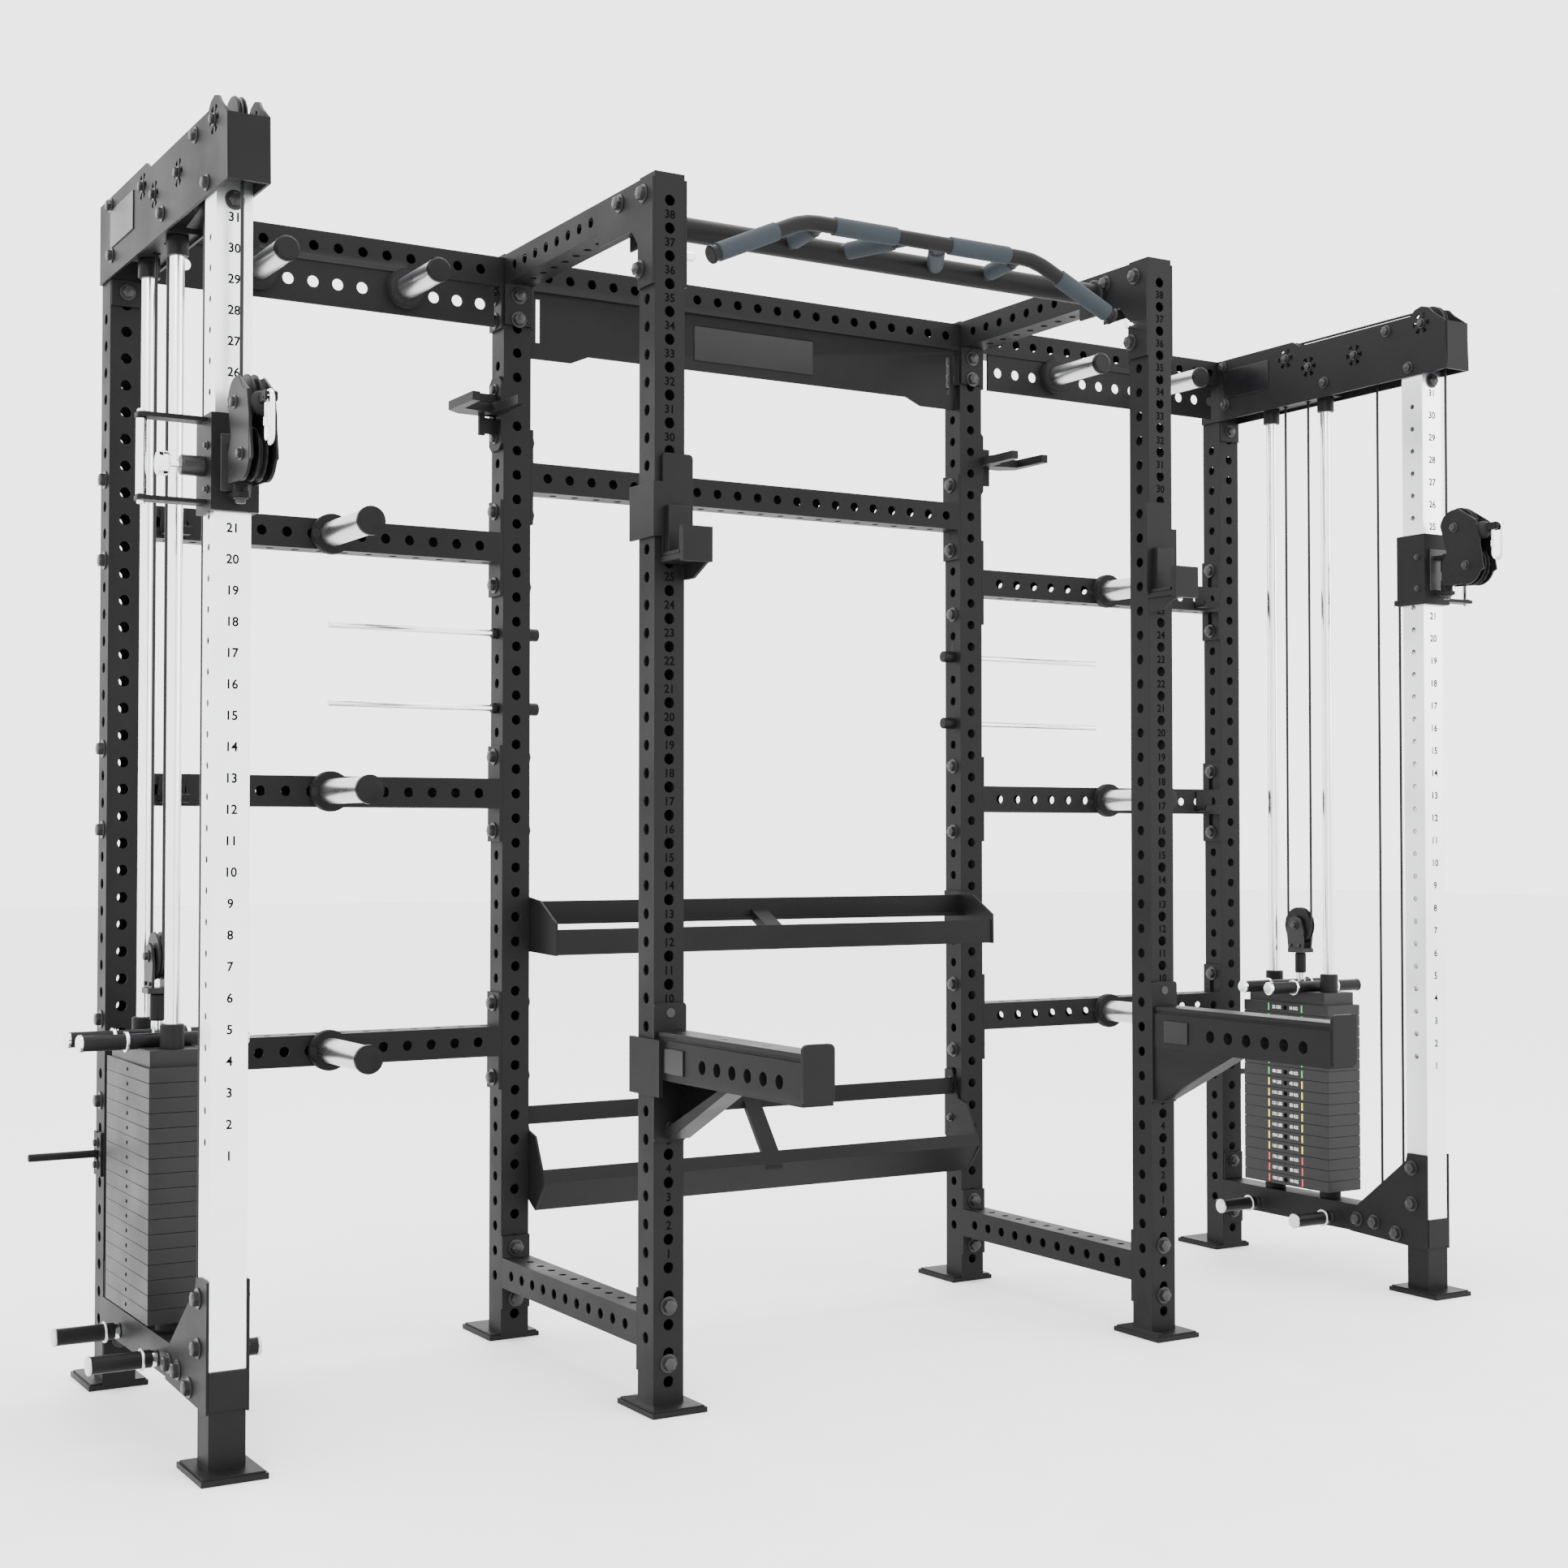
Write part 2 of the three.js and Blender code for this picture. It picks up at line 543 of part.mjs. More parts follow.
function selectorPin() {
  const tip = TOWER_X - 8.8;
  const rod = rodX(TOWER_X - 92, tip, STACK_Y, PIN_Z, 4.5, 12);
  const knob = rodX(TOWER_X - 112, TOWER_X - 90, STACK_Y, PIN_Z, 13, 16);
  const waist = rodX(TOWER_X - 91, TOWER_X - 78, STACK_Y, PIN_Z, 8, 16);
  return union([rod, knob, waist]);
}
addPair('selector_pin', selectorPin(), materials.chrome);

addPair('stack_pulley',
  pulley(TOWER_X, STACK_PULLEY, STACK_PITCH_R)
    .subtract(rodX(TOWER_X - 30, TOWER_X + 30, STACK_PULLEY[0], STACK_PULLEY[1], 6.15, 16)),
  materials.plastic);

// ---------------------------------------------------------------- carriages
function carriage() {
  const x = TOWER_X;
  const inner = HALF + 0.5;
  const z0 = 1530;
  const z1 = 1686;
  const outer = box(x - 39, x + 39, -372, -290, z0, z1);
  const bore = box(x - inner, x + inner, FRONT_Y - inner, FRONT_Y + inner, z0 - 1, z1 + 1);
  const ears = [[1548, 1556], [1628, 1636]].map(([a, b]) => plateZ(outlineShape([
    [x - 14, -368], [x + 14, -368], [x + 14, -408], [x + 8, -416], [x - 8, -416], [x - 14, -408]]), a, b));
  const earBore = rodZ(x, LINE_FRONT, 1540, 1670, 9, 20);
  const arms = [[1542, 1549], [1674, 1681]].map(([a, b]) =>
    plateZ(roundedShape(x + 30, 1506, -347, -313, 10), a, b));
  const grip = rodZ(1497, FRONT_Y, 1543, 1680, 8);
  const barrel = rodX(x + 38, 1435, FRONT_Y, 1604, 16);
  const pinBore = rodX(x + 20, 1440, FRONT_Y, 1604, 5.06, 16);
  const rear = plateX(roundedShape(-292, -285, 1545, 1655, 3), x - 24, x + 24);
  const lug = box(x - 8, x + 8, -292, -252, 1536, 1548);
  return cut(union([outer, ...ears, ...arms, grip, barrel, rear, lug]), [bore, earBore, pinBore]);
}
addPair('carriage', carriage(), materials.black);

function popPin() {
  const rod = rodX(TOWER_X + HALF + 0.8, 1460, FRONT_Y, 1604, 5, 16);
  const knob = rodX(1456, 1472, FRONT_Y, 1604, 19);
  return rod.add(knob);
}
addPair('pop_pin', popPin(), materials.chrome);

function swivelBracket() {
  const x = TOWER_X;
  const side = outlineShape([[-405, 1567], [-405, 1616], [-425, 1622], [-428, 1700], [-454, 1731],
    [-502, 1702], [-523, 1594], [-460, 1565]]);
  const cheeks = [plateX(side, x - 22, x - 18), plateX(side, x + 18, x + 22)];
  const lowCollar = rodZ(x, LINE_FRONT, 1556 + FIT, 1580, 13);
  const highCollar = rodZ(x, LINE_FRONT, 1600, 1628 - FIT, 13);
  const lowWeb = box(x - 19, x + 19, -415, -406, 1568, 1580);
  const highWeb = box(x - 19, x + 19, -415, -406, 1601, 1614);
  const stubs = [rodZ(x, LINE_FRONT, 1546, 1560, 8.8, 20), rodZ(x, LINE_FRONT, 1620, 1639, 8.8, 20)];
  const lower = pulley(x, LOWER_PULLEY, SWIVEL_PITCH_R - 3);
  const axle = rodX(x - 25, x + 25, LOWER_PULLEY[0], LOWER_PULLEY[1], 6);
  const upperAxle = rodX(x - 25, x + 25, UPPER_PULLEY[0], UPPER_PULLEY[1], 6, 16);
  const stop = ball(x, -503, 1681, 19);
  const fitting = rodY(x, -522, -500, 1685, 11);
  const fork = [-10, 6].map((dx) => plateX(roundedShape(-552, -516, 1677, 1693, 5), x + dx, x + dx + 4));
  const forkPin = rodX(x - 11, x + 11, -543, 1682.6, 2.4);
  const wheelRoom = rodX(x - 9, x + 9, UPPER_PULLEY[0], UPPER_PULLEY[1], SWIVEL_PITCH_R + 4.6, 24)
    .subtract(rodX(x - 10, x + 10, UPPER_PULLEY[0], UPPER_PULLEY[1], 6, 16));
  return cut(union([...cheeks, lowCollar, highCollar, lowWeb, highWeb, ...stubs, lower, axle,
    upperAxle, stop, fitting, ...fork, forkPin]), [wheelRoom]);
}
addPair('swivel_bracket', swivelBracket(), materials.black);

addPair('swivel_pulley',
  pulley(TOWER_X, UPPER_PULLEY, SWIVEL_PITCH_R)
    .subtract(rodX(TOWER_X - 30, TOWER_X + 30, UPPER_PULLEY[0], UPPER_PULLEY[1], 6.15, 16)),
  materials.plastic);

function carabiner() {
  const x = TOWER_X;
  const y = -543;
  return sweep([[x, y, 1692], [x, y - 10, 1687], [x, y - 13, 1676], [x, y - 13, 1628], [x, y - 9, 1617],
    [x, y, 1613], [x, y + 9, 1617], [x, y + 13, 1628], [x, y + 13, 1676], [x, y + 10, 1687]],
    [1, 0, 0], 4, 8, true);
}
addPair('carabiner', carabiner(), materials.chrome);

// ---------------------------------------------------------------- cables
function arcPoints([cy, cz], r, from, to, steps) {
  const points = [];
  for (let i = 0; i <= steps; i += 1) {
    const a = THREE.MathUtils.degToRad(from + ((to - from) * i) / steps);
    points.push([TOWER_X, cy + r * Math.cos(a), cz + r * Math.sin(a)]);
  }
  return points;
}

function cable(points) {
  return sweep(points, [1, 0, 0], CABLE_R, 8);
}
addPair('cable_front', cable([[TOWER_X, LINE_FRONT, 1672], [TOWER_X, LINE_FRONT, 2156]]), materials.cable);
addPair('cable_lower', cable([[TOWER_X, LINE_ANCHOR, 135], [TOWER_X, LINE_ANCHOR, 1535]]), materials.cable);
addPair('cable_stack', cable([[TOWER_X, LINE_STACK_REAR, 2156],
  ...arcPoints(STACK_PULLEY, STACK_PITCH_R, 0, -180, 8),
  [TOWER_X, LINE_STACK_FRONT, 2123]]), materials.cable);
addPair('cable_fixed', cable([...arcPoints(TOP_PULLEYS[3], PITCH_R, 15, 90, 5),
  ...arcPoints(TOP_PULLEYS[1], PITCH_R, 90, 180, 6), [TOWER_X, LINE_BASE, 1200],
  ...arcPoints(BASE_PULLEY, BASE_PITCH_R, 0, -172, 8)]), materials.cable);

export default group;
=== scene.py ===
"""Looks of the cable crossover station: real holes, bolts, labels, pulleys, cables and finishes
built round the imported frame. Helpers take millimetres in the rack's own axes, like part.mjs."""

import json
import math

import bmesh
import bpy
from mathutils import Matrix, Vector


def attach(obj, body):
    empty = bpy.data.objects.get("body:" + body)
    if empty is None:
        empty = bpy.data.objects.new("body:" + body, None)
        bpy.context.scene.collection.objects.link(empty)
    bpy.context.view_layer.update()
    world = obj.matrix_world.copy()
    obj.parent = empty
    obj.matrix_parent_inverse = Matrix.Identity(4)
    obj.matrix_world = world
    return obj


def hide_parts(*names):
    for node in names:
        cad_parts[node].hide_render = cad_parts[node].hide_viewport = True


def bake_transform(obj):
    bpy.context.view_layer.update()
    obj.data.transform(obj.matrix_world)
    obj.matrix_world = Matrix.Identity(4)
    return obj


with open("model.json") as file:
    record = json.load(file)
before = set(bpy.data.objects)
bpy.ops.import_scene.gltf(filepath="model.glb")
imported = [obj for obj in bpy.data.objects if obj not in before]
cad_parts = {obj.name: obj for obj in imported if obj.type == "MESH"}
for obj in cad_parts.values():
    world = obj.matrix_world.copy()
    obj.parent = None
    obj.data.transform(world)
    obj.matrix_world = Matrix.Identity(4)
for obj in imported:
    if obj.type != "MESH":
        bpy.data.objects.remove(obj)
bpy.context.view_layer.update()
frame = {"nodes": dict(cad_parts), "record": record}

# Layout in mm: rack centre at x = 0, y = 0; CENTRE_Y takes it to the frame's origin.
CENTRE_Y = 213
HALF = 30
RACK_X, TOWER_X = 569, 1359
FRONT_Y, REAR_Y = -330, 330
TO_ROW = Matrix.Scale(0.001, 4) @ Matrix.Translation((0, CENTRE_Y, 0))
SIDES = {"left": -1, "right": 1}
PITCH = 50
HOLE_R, SIDE_HOLE_R = 10, 8
REACH = 60
RACK_TOP = 2200
TOP_HOLES_Z, MID_BAR_Z, TOP_PEG_Z, BAND_PEG_Z = 2162, 1748, 2100, 131
CROSSBARS = {"high": 1600, "middle": 1100, "low": 600}
SIDE_BEAMS = {"top": 2167, "bottom": 135}
GUIDE_ROD_YS, HEAD_BAR_YS = (-33, 148), (17, 103)
TOP_PEG_XS, CROSSBAR_PEG_X = (812, 1112), 964
PLATE_PITCH, PLATE_COUNT, STACK_BOTTOM = 25.4, 17, 189
STACK_Y, STACK_HALF_X = 60, 50.5
STACK_PULLEY, UPPER_PULLEY, LOWER_PULLEY = (62, 803), (-441, 1691), (-474, 1605)
TOP_PULLEYS = [(-363, 2156), (-160, 2123), (63, 2156), (-13, 2123)]
BASE_PULLEY = (-229, 135)
TOP_PITCH_R, BASE_PITCH_R, STACK_PITCH_R, UPPER_PITCH_R, LOWER_PITCH_R = 37, 32, 38, 41, 38
CABLE_R = 2.9
LINE_FRONT, LINE_ANCHOR = -400, -261
BAR_Y, BAR_Z, BENT_BAR_Z = -200, 2152, 2163
HEAD_BAR_Z, POP_PIN_Z, GRIP_X, CARABINER_Y = 659, 1604, 1497, -543
INK_PROUD = 0.08
FIRST_LIFTED = 13


# ------------------------------------------------------------------ materials
def material(name):
    mat = bpy.data.materials.new(name)
    mat.use_nodes = True
    return mat, mat.node_tree, mat.node_tree.nodes["Principled BSDF"]


def noise(tree, scale, detail=3.0):
    coords = tree.nodes.new("ShaderNodeTexCoord")
    node = tree.nodes.new("ShaderNodeTexNoise")
    node.inputs["Scale"].default_value = scale
    node.inputs["Detail"].default_value = detail
    tree.links.new(coords.outputs["Object"], node.inputs["Vector"])
    return node


def ramp(tree, source, low, high):
    """The middle of a noise, spread over the range from low to high."""
    node = tree.nodes.new("ShaderNodeMapRange")
    node.inputs["From Min"].default_value = 0.3
    node.inputs["From Max"].default_value = 0.7
    node.inputs["To Min"].default_value = low
    node.inputs["To Max"].default_value = high
    tree.links.new(source, node.inputs["Value"])
    return node.outputs["Result"]


def finish_surface(name, dark, light, rough, metal=0.0, grain=900, bump=0.0, edge=0.0012, gloss=0.5):
    """A colour between dark and light in large patches, roughness in patches, fine bump grain,
    and softly rounded edges."""
    mat, tree, shader = material(name)
    clouds = noise(tree, 7)
    mix = tree.nodes.new("ShaderNodeMix")
    mix.data_type = "RGBA"
    mix.inputs[6].default_value = (*dark, 1)
    mix.inputs[7].default_value = (*light, 1)
    tree.links.new(ramp(tree, clouds.outputs["Fac"], 0, 1), mix.inputs[0])
    tree.links.new(mix.outputs[2], shader.inputs["Base Color"])
    tree.links.new(ramp(tree, clouds.outputs["Fac"], *rough), shader.inputs["Roughness"])
    shader.inputs["Metallic"].default_value = metal
    shader.inputs["Specular IOR Level"].default_value = gloss
    rounded = tree.nodes.new("ShaderNodeBevel")
    rounded.samples = 4
    rounded.inputs["Radius"].default_value = edge
    normal = rounded.outputs["Normal"]
    if bump:
        fine = noise(tree, grain, 2)
        relief = tree.nodes.new("ShaderNodeBump")
        relief.inputs["Strength"].default_value = bump
        relief.inputs["Distance"].default_value = 0.0004
        tree.links.new(fine.outputs["Fac"], relief.inputs["Height"])
        tree.links.new(normal, relief.inputs["Normal"])
        normal = relief.outputs["Normal"]
    tree.links.new(normal, shader.inputs["Normal"])
    return mat


COAT = finish_surface("powder_coat", (0.0060, 0.0060, 0.0064), (0.0080, 0.0080, 0.0085), (0.40, 0.52),
                      bump=0.35, grain=700, gloss=0.09)
CHROME = finish_surface("chrome", (0.80, 0.81, 0.82), (0.86, 0.87, 0.88), (0.10, 0.18), metal=1)
SATIN = finish_surface("satin_chrome", (0.80, 0.81, 0.82), (0.86, 0.87, 0.88), (0.26, 0.34), metal=1)
STEEL = finish_surface("steel", (0.50, 0.50, 0.51), (0.60, 0.60, 0.61), (0.25, 0.38), metal=1)
BOLT = finish_surface("bolt_black", (0.012, 0.012, 0.013), (0.02, 0.02, 0.02), (0.28, 0.42),
                      metal=0.1, edge=0.0006, gloss=0.3)
PLASTIC = finish_surface("plastic", (0.005, 0.005, 0.0055), (0.008, 0.008, 0.0085), (0.34, 0.46),
                         gloss=0.1)
RUBBER = finish_surface("rubber", (0.006, 0.006, 0.0065), (0.010, 0.010, 0.0105), (0.7, 0.85),
                        bump=0.3, grain=400, gloss=0.18)
GRIP = finish_surface("grip", (0.012, 0.017, 0.021), (0.018, 0.024, 0.029), (0.62, 0.75),
                      bump=0.6, grain=260, gloss=0.2)
CABLE = finish_surface("cable_coat", (0.005, 0.005, 0.0055), (0.008, 0.008, 0.0085), (0.3, 0.4),
                       gloss=0.2)
# Near-black matt, used for the printed numbers and also as painted shade for the stack's pin holes.
INK_AND_HOLE_SHADE = finish_surface("ink_and_hole_shade", (0.002, 0.002, 0.002), (0.003, 0.003, 0.003), (0.8, 0.9), edge=0.0001,
                     gloss=0.02)
WHITE = finish_surface("ink_white", (0.72, 0.72, 0.70), (0.8, 0.8, 0.78), (0.5, 0.6), edge=0.0001)
IRON = finish_surface("stack_iron", (0.0075, 0.0075, 0.008), (0.0105, 0.0105, 0.011), (0.36, 0.5),
                      bump=0.2, grain=500, gloss=0.2)
BADGE = finish_surface("badge", (0.004, 0.004, 0.0045), (0.006, 0.006, 0.0065), (0.25, 0.35),
                       gloss=0.2)
GREEN = finish_surface("band_green", (0.05, 0.42, 0.08), (0.06, 0.46, 0.10), (0.4, 0.5), edge=0.0001)
YELLOW = finish_surface("band_yellow", (0.80, 0.62, 0.03), (0.84, 0.66, 0.05), (0.4, 0.5), edge=0.0001)
RED = finish_surface("band_red", (0.62, 0.03, 0.03), (0.66, 0.04, 0.04), (0.4, 0.5), edge=0.0001)


# ------------------------------------------------------------------ geometry
class Solid:
    """Collects simple closed shapes, in mm and rack axes, into one mesh."""

    def __init__(self):
        self.bm = bmesh.new()

    def box(self, x0, x1, y0, y1, z0, z1):
        centre = Vector(((x0 + x1) / 2, (y0 + y1) / 2, (z0 + z1) / 2))
        size = Matrix.Diagonal((abs(x1 - x0), abs(y1 - y0), abs(z1 - z0), 1))
        bmesh.ops.create_cube(self.bm, size=1, matrix=Matrix.Translation(centre) @ size)
        return self

    def turned(self, a, b, profile, seg=32):
        """A body of revolution from a to b. profile is a list of (share of the length, radius)."""
        a, b = Vector(a), Vector(b)
        turn = (b - a).to_track_quat("Z", "Y")
        rings = []
        for share, r in profile:
            centre = a.lerp(b, share)
            ring = []
            for i in range(seg):
                angle = 2 * math.pi * i / seg
                offset = turn @ Vector((math.cos(angle) * r, math.sin(angle) * r, 0))
                ring.append(self.bm.verts.new(centre + offset))
            rings.append(ring)
        for low, high in zip(rings, rings[1:]):
            for i in range(seg):
                j = (i + 1) % seg
                self.bm.faces.new((low[i], low[j], high[j], high[i]))
        self.bm.faces.new(reversed(rings[0]))
        self.bm.faces.new(rings[-1])
        return self

    def rod(self, a, b, r, seg=32, chamfer=1.0):
        length = (Vector(b) - Vector(a)).length
        c = min(chamfer, length / 4, r / 3) / length
        inset = r - c * length
        return self.turned(a, b, [(0, inset), (c, r), (1 - c, r), (1, inset)], seg)

    def prism(self, axis, outline, lo, hi):
        """An outline in the two axes other than `axis` (in x, y, z order), from lo to hi."""
        def place(u, v, w):
            return {"x": (w, u, v), "y": (u, w, v), "z": (u, v, w)}[axis]
        low = [self.bm.verts.new(place(u, v, lo)) for u, v in outline]
        high = [self.bm.verts.new(place(u, v, hi)) for u, v in outline]
        self.bm.faces.new(low)
        self.bm.faces.new(high[::-1])
        n = len(outline)
        for i in range(n):
            j = (i + 1) % n
            self.bm.faces.new((low[i], high[i], high[j], low[j]))
        return self

    def sweep(self, points, r, seg=16, closed=False):
        points = [Vector(p) for p in points]
        n = len(points)
        rings = []
        side = None
        for i, p in enumerate(points):
            before = points[i - 1] if closed or i else points[0]
            after = points[(i + 1) % n] if closed or i < n - 1 else points[-1]
            along = (after - before).normalized()
            if side is None:
                side = along.orthogonal().normalized()
            side = (side - along * side.dot(along)).normalized()
            up = along.cross(side)
            rings.append([self.bm.verts.new(p + side * r * math.cos(t) + up * r * math.sin(t))
                          for t in (2 * math.pi * k / seg for k in range(seg))])
        pairs = list(zip(rings, rings[1:]))
        if closed:
            pairs.append((rings[-1], rings[0]))
        for low, high in pairs:
            for i in range(seg):
                j = (i + 1) % seg
                self.bm.faces.new((low[i], low[j], high[j], high[i]))
        if not closed:
            self.bm.faces.new(reversed(rings[0]))
            self.bm.faces.new(rings[-1])
        return self

    def bolt(self, at, axis, r=12.5, washer=True):
        """A hex bolt head on a washer, standing out of a face at `at` along `axis`."""
        at, axis = Vector(at), Vector(axis)
        if washer:
            self.rod(at, at + axis * 2.2, r * 1.35, 24, 0.5)
        base = at + axis * (2.2 if washer else 0)
        self.turned(base, base + axis * r * 0.75, [(0, r), (0.82, r), (1, r * 0.86)], 6)
        self.turned(base + axis * r * 0.74, base + axis * r * 0.8, [(0, r * 0.72), (1, r * 0.6)], 16)
        return self

    def mesh(self, name):
        bmesh.ops.recalc_face_normals(self.bm, faces=self.bm.faces[:])
        self.bm.transform(TO_ROW)
        data = bpy.data.meshes.new(name)
        self.bm.to_mesh(data)
        self.bm.free()
        return data

    def done(self, name, mat, body="frame", bevel=0.0):
        data = self.mesh(name)
        obj = add_object(name, data, mat)
        if bevel:
            edge = obj.modifiers.new("edge", "BEVEL")
            edge.width = bevel / 1000
            edge.segments = 2
            edge.limit_method = "ANGLE"
            edge.angle_limit = math.radians(40)
        if body:
            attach(obj, body)
        return obj


def add_object(name, data, mat):
    obj = bpy.data.objects.new(name, data)
    bpy.context.collection.objects.link(obj)
    data.materials.clear()
    data.materials.append(mat)
    shade(data)
    return obj


def shade(data):
    """Smooth shading, broken at every edge sharper than 32 degrees."""
    for face in data.polygons:
        face.use_smooth = True
    data.set_sharp_from_angle(angle=math.radians(32))


def merged_copy(node, name):
    """A copy of the node's mesh with its split corners joined and its flat faces made whole."""
    data = frame["nodes"][node].data.copy()
    data.name = name
    bm = bmesh.new()
    bm.from_mesh(data)
    bmesh.ops.remove_doubles(bm, verts=bm.verts[:], dist=2e-6)
    bmesh.ops.dissolve_limit(bm, angle_limit=0.002, verts=bm.verts[:], edges=bm.edges[:])
    bm.to_mesh(data)
    bm.free()
    return data


def body_of_node(node):
    return next(b for b, nodes in frame["record"]["behaviour"]["bodies"].items() if node in nodes)


def punched(node, cutter, mat=COAT):
    """The node with real holes: the cutter solid is taken out of a copy, which replaces it."""
    obj = add_object(f"{node}_open", merged_copy(node, f"{node}_open"), mat)
    tool = bpy.data.objects.new("tool", cutter.mesh("tool"))
    bpy.context.collection.objects.link(tool)
    cut = obj.modifiers.new("cut", "BOOLEAN")
    cut.operation = "DIFFERENCE"
    cut.solver = "EXACT"
    cut.object = tool
    graph = bpy.context.evaluated_depsgraph_get()
    result = bpy.data.meshes.new_from_object(obj.evaluated_get(graph))
    obj.modifiers.clear()
    obj.data = result
    bpy.data.objects.remove(tool)
    shade(result)
    result.materials.clear()
    result.materials.append(mat)
    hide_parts(node)
    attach(obj, body_of_node(node))
    return obj


def label(text, at, size, face="-y"):
    """Flat raised text. face is the direction it looks towards."""
    curve = bpy.data.curves.new(f"label_{text}", "FONT")
    curve.body = text
    curve.size = size / 1000
    curve.align_x = "CENTER"
    curve.align_y = "CENTER"
    curve.extrude = 0.0001
    curve.offset = size * 0.000022
    curve.resolution_u = 3
    source = bpy.data.objects.new("text", curve)
    bpy.context.collection.objects.link(source)
    bpy.context.view_layer.update()
    data = bpy.data.meshes.new_from_object(source)
    bpy.data.objects.remove(source)
    turn = {"-y": 0, "+x": math.pi / 2, "-x": -math.pi / 2}[face]
    place = Matrix.Rotation(turn, 4, "Z") @ Matrix.Rotation(math.pi / 2, 4, "X")
    data.transform(Matrix.Translation(TO_ROW @ Vector(at)) @ place)
    return data


def joined(meshes, name, mat, body):
    """Several meshes as one piece."""
    bm = bmesh.new()
    for data in meshes:
        bm.from_mesh(data)
        bpy.data.meshes.remove(data)
    data = bpy.data.meshes.new(name)
    bm.to_mesh(data)
    bm.free()
    obj = add_object(name, data, mat)
    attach(obj, body)
    return obj


def steps(start, stop, step=PITCH):
    return range(start, stop + 1, step)


def arc(centre, r, start, stop, count=14):
    """Points (y, z) round a centre, from one angle to another in degrees."""
    cy, cz = centre
    angles = (math.radians(start + (stop - start) * i / count) for i in range(count + 1))
    return [(cy + r * math.cos(a), cz + r * math.sin(a)) for a in angles]


# ------------------------------------------------------------------ posts and beams with holes
def through(tool, axis, at, r=HOLE_R, seg=28):
    """A cutter along an axis that reaches past both faces of a tube centred there."""
    along = Vector([REACH if name == axis else 0 for name in "xyz"])
    tool.rod(Vector(at) - along, Vector(at) + along, r, seg, 0)


def post_cutter(x, y, top):
    """Holes up both pairs of faces of an upright, at levels that don't meet."""
    tool = Solid()
    for z in steps(PITCH, top - HALF):
        through(tool, "y", (x, y, z))
    for z in steps(125, 1975):
        through(tool, "x", (x, y, z))
    return tool


for side, s in SIDES.items():
    punched(f"upright_front_{side}", post_cutter(s * RACK_X, FRONT_Y, RACK_TOP))
    punched(f"upright_rear_{side}", post_cutter(s * RACK_X, REAR_Y, RACK_TOP))
    punched(f"upright_outer_{side}", post_cutter(s * TOWER_X, REAR_Y, 2060))

    column = Solid()
    for z in steps(525, 2000):
        through(column, "x", (s * TOWER_X, FRONT_Y, z), 6, 20)
    punched(f"guide_column_{side}", column, SATIN)

    low, high = sorted((s * 650, s * 1300))
    for name, z in CROSSBARS.items():
        bar = Solid()
        for x in steps(low, high):
            through(bar, "y", (x, REAR_Y, z))
            through(bar, "z", (x + PITCH / 2, REAR_Y, z), SIDE_HOLE_R, 20)
        punched(f"wing_crossbar_{name}_{side}", bar)

    top = Solid()
    for x in steps(low, high):
        if all(abs(abs(x) - peg) > REACH for peg in TOP_PEG_XS):
            top.rod((x, REAR_Y - REACH, 2092), (x, REAR_Y - 5, 2092), 11.5, 28, 0)
        through(top, "y", (x, REAR_Y, TOP_HOLES_Z))
    punched(f"wing_top_beam_{side}", top)

    for name, z in SIDE_BEAMS.items():
        beam = Solid()
        for y in steps(-100 if name == "top" else -250, 250):
            through(beam, "x", (s * RACK_X, y, z))
            through(beam, "z", (s * RACK_X, y + PITCH / 2, z), SIDE_HOLE_R, 20)
        punched(f"side_beam_{name}_{side}", beam)

header = Solid()
for x in steps(-500, 500):
    through(header, "y", (x, REAR_Y, TOP_HOLES_Z))
for x in (-516, 516):
    header.box(x - 5, x + 5, REAR_Y - 20, REAR_Y - 5, 2030, 2120)
punched("header_beam", header)

crossbar = Solid()
for x in steps(-500, 500):
    through(crossbar, "y", (x, REAR_Y, MID_BAR_Z))
    through(crossbar, "z", (x + PITCH / 2, REAR_Y, MID_BAR_Z), SIDE_HOLE_R, 20)
punched("mid_crossbar", crossbar)

for side, s in SIDES.items():
    arm = Solid()
    for i in range(6):
        through(arm, "x", (s * RACK_X, -534 - 51 * i, 619), 12)
    punched(f"spotter_arm_{side}", arm)

for side, s in SIDES.items():
    windows = Solid()
    for centre in TOP_PULLEYS:
        for x in (s * TOWER_X - 33, s * TOWER_X + 33):
            for spoke in range(0, 360, 60):
                petal = arc(centre, 12, spoke + 9, spoke - 9, 2)
                petal += arc(centre, 24, spoke - 15, spoke + 15, 4)
                windows.prism("x", petal, x - 4, x + 4)
    punched(f"pulley_housing_{side}", windows)

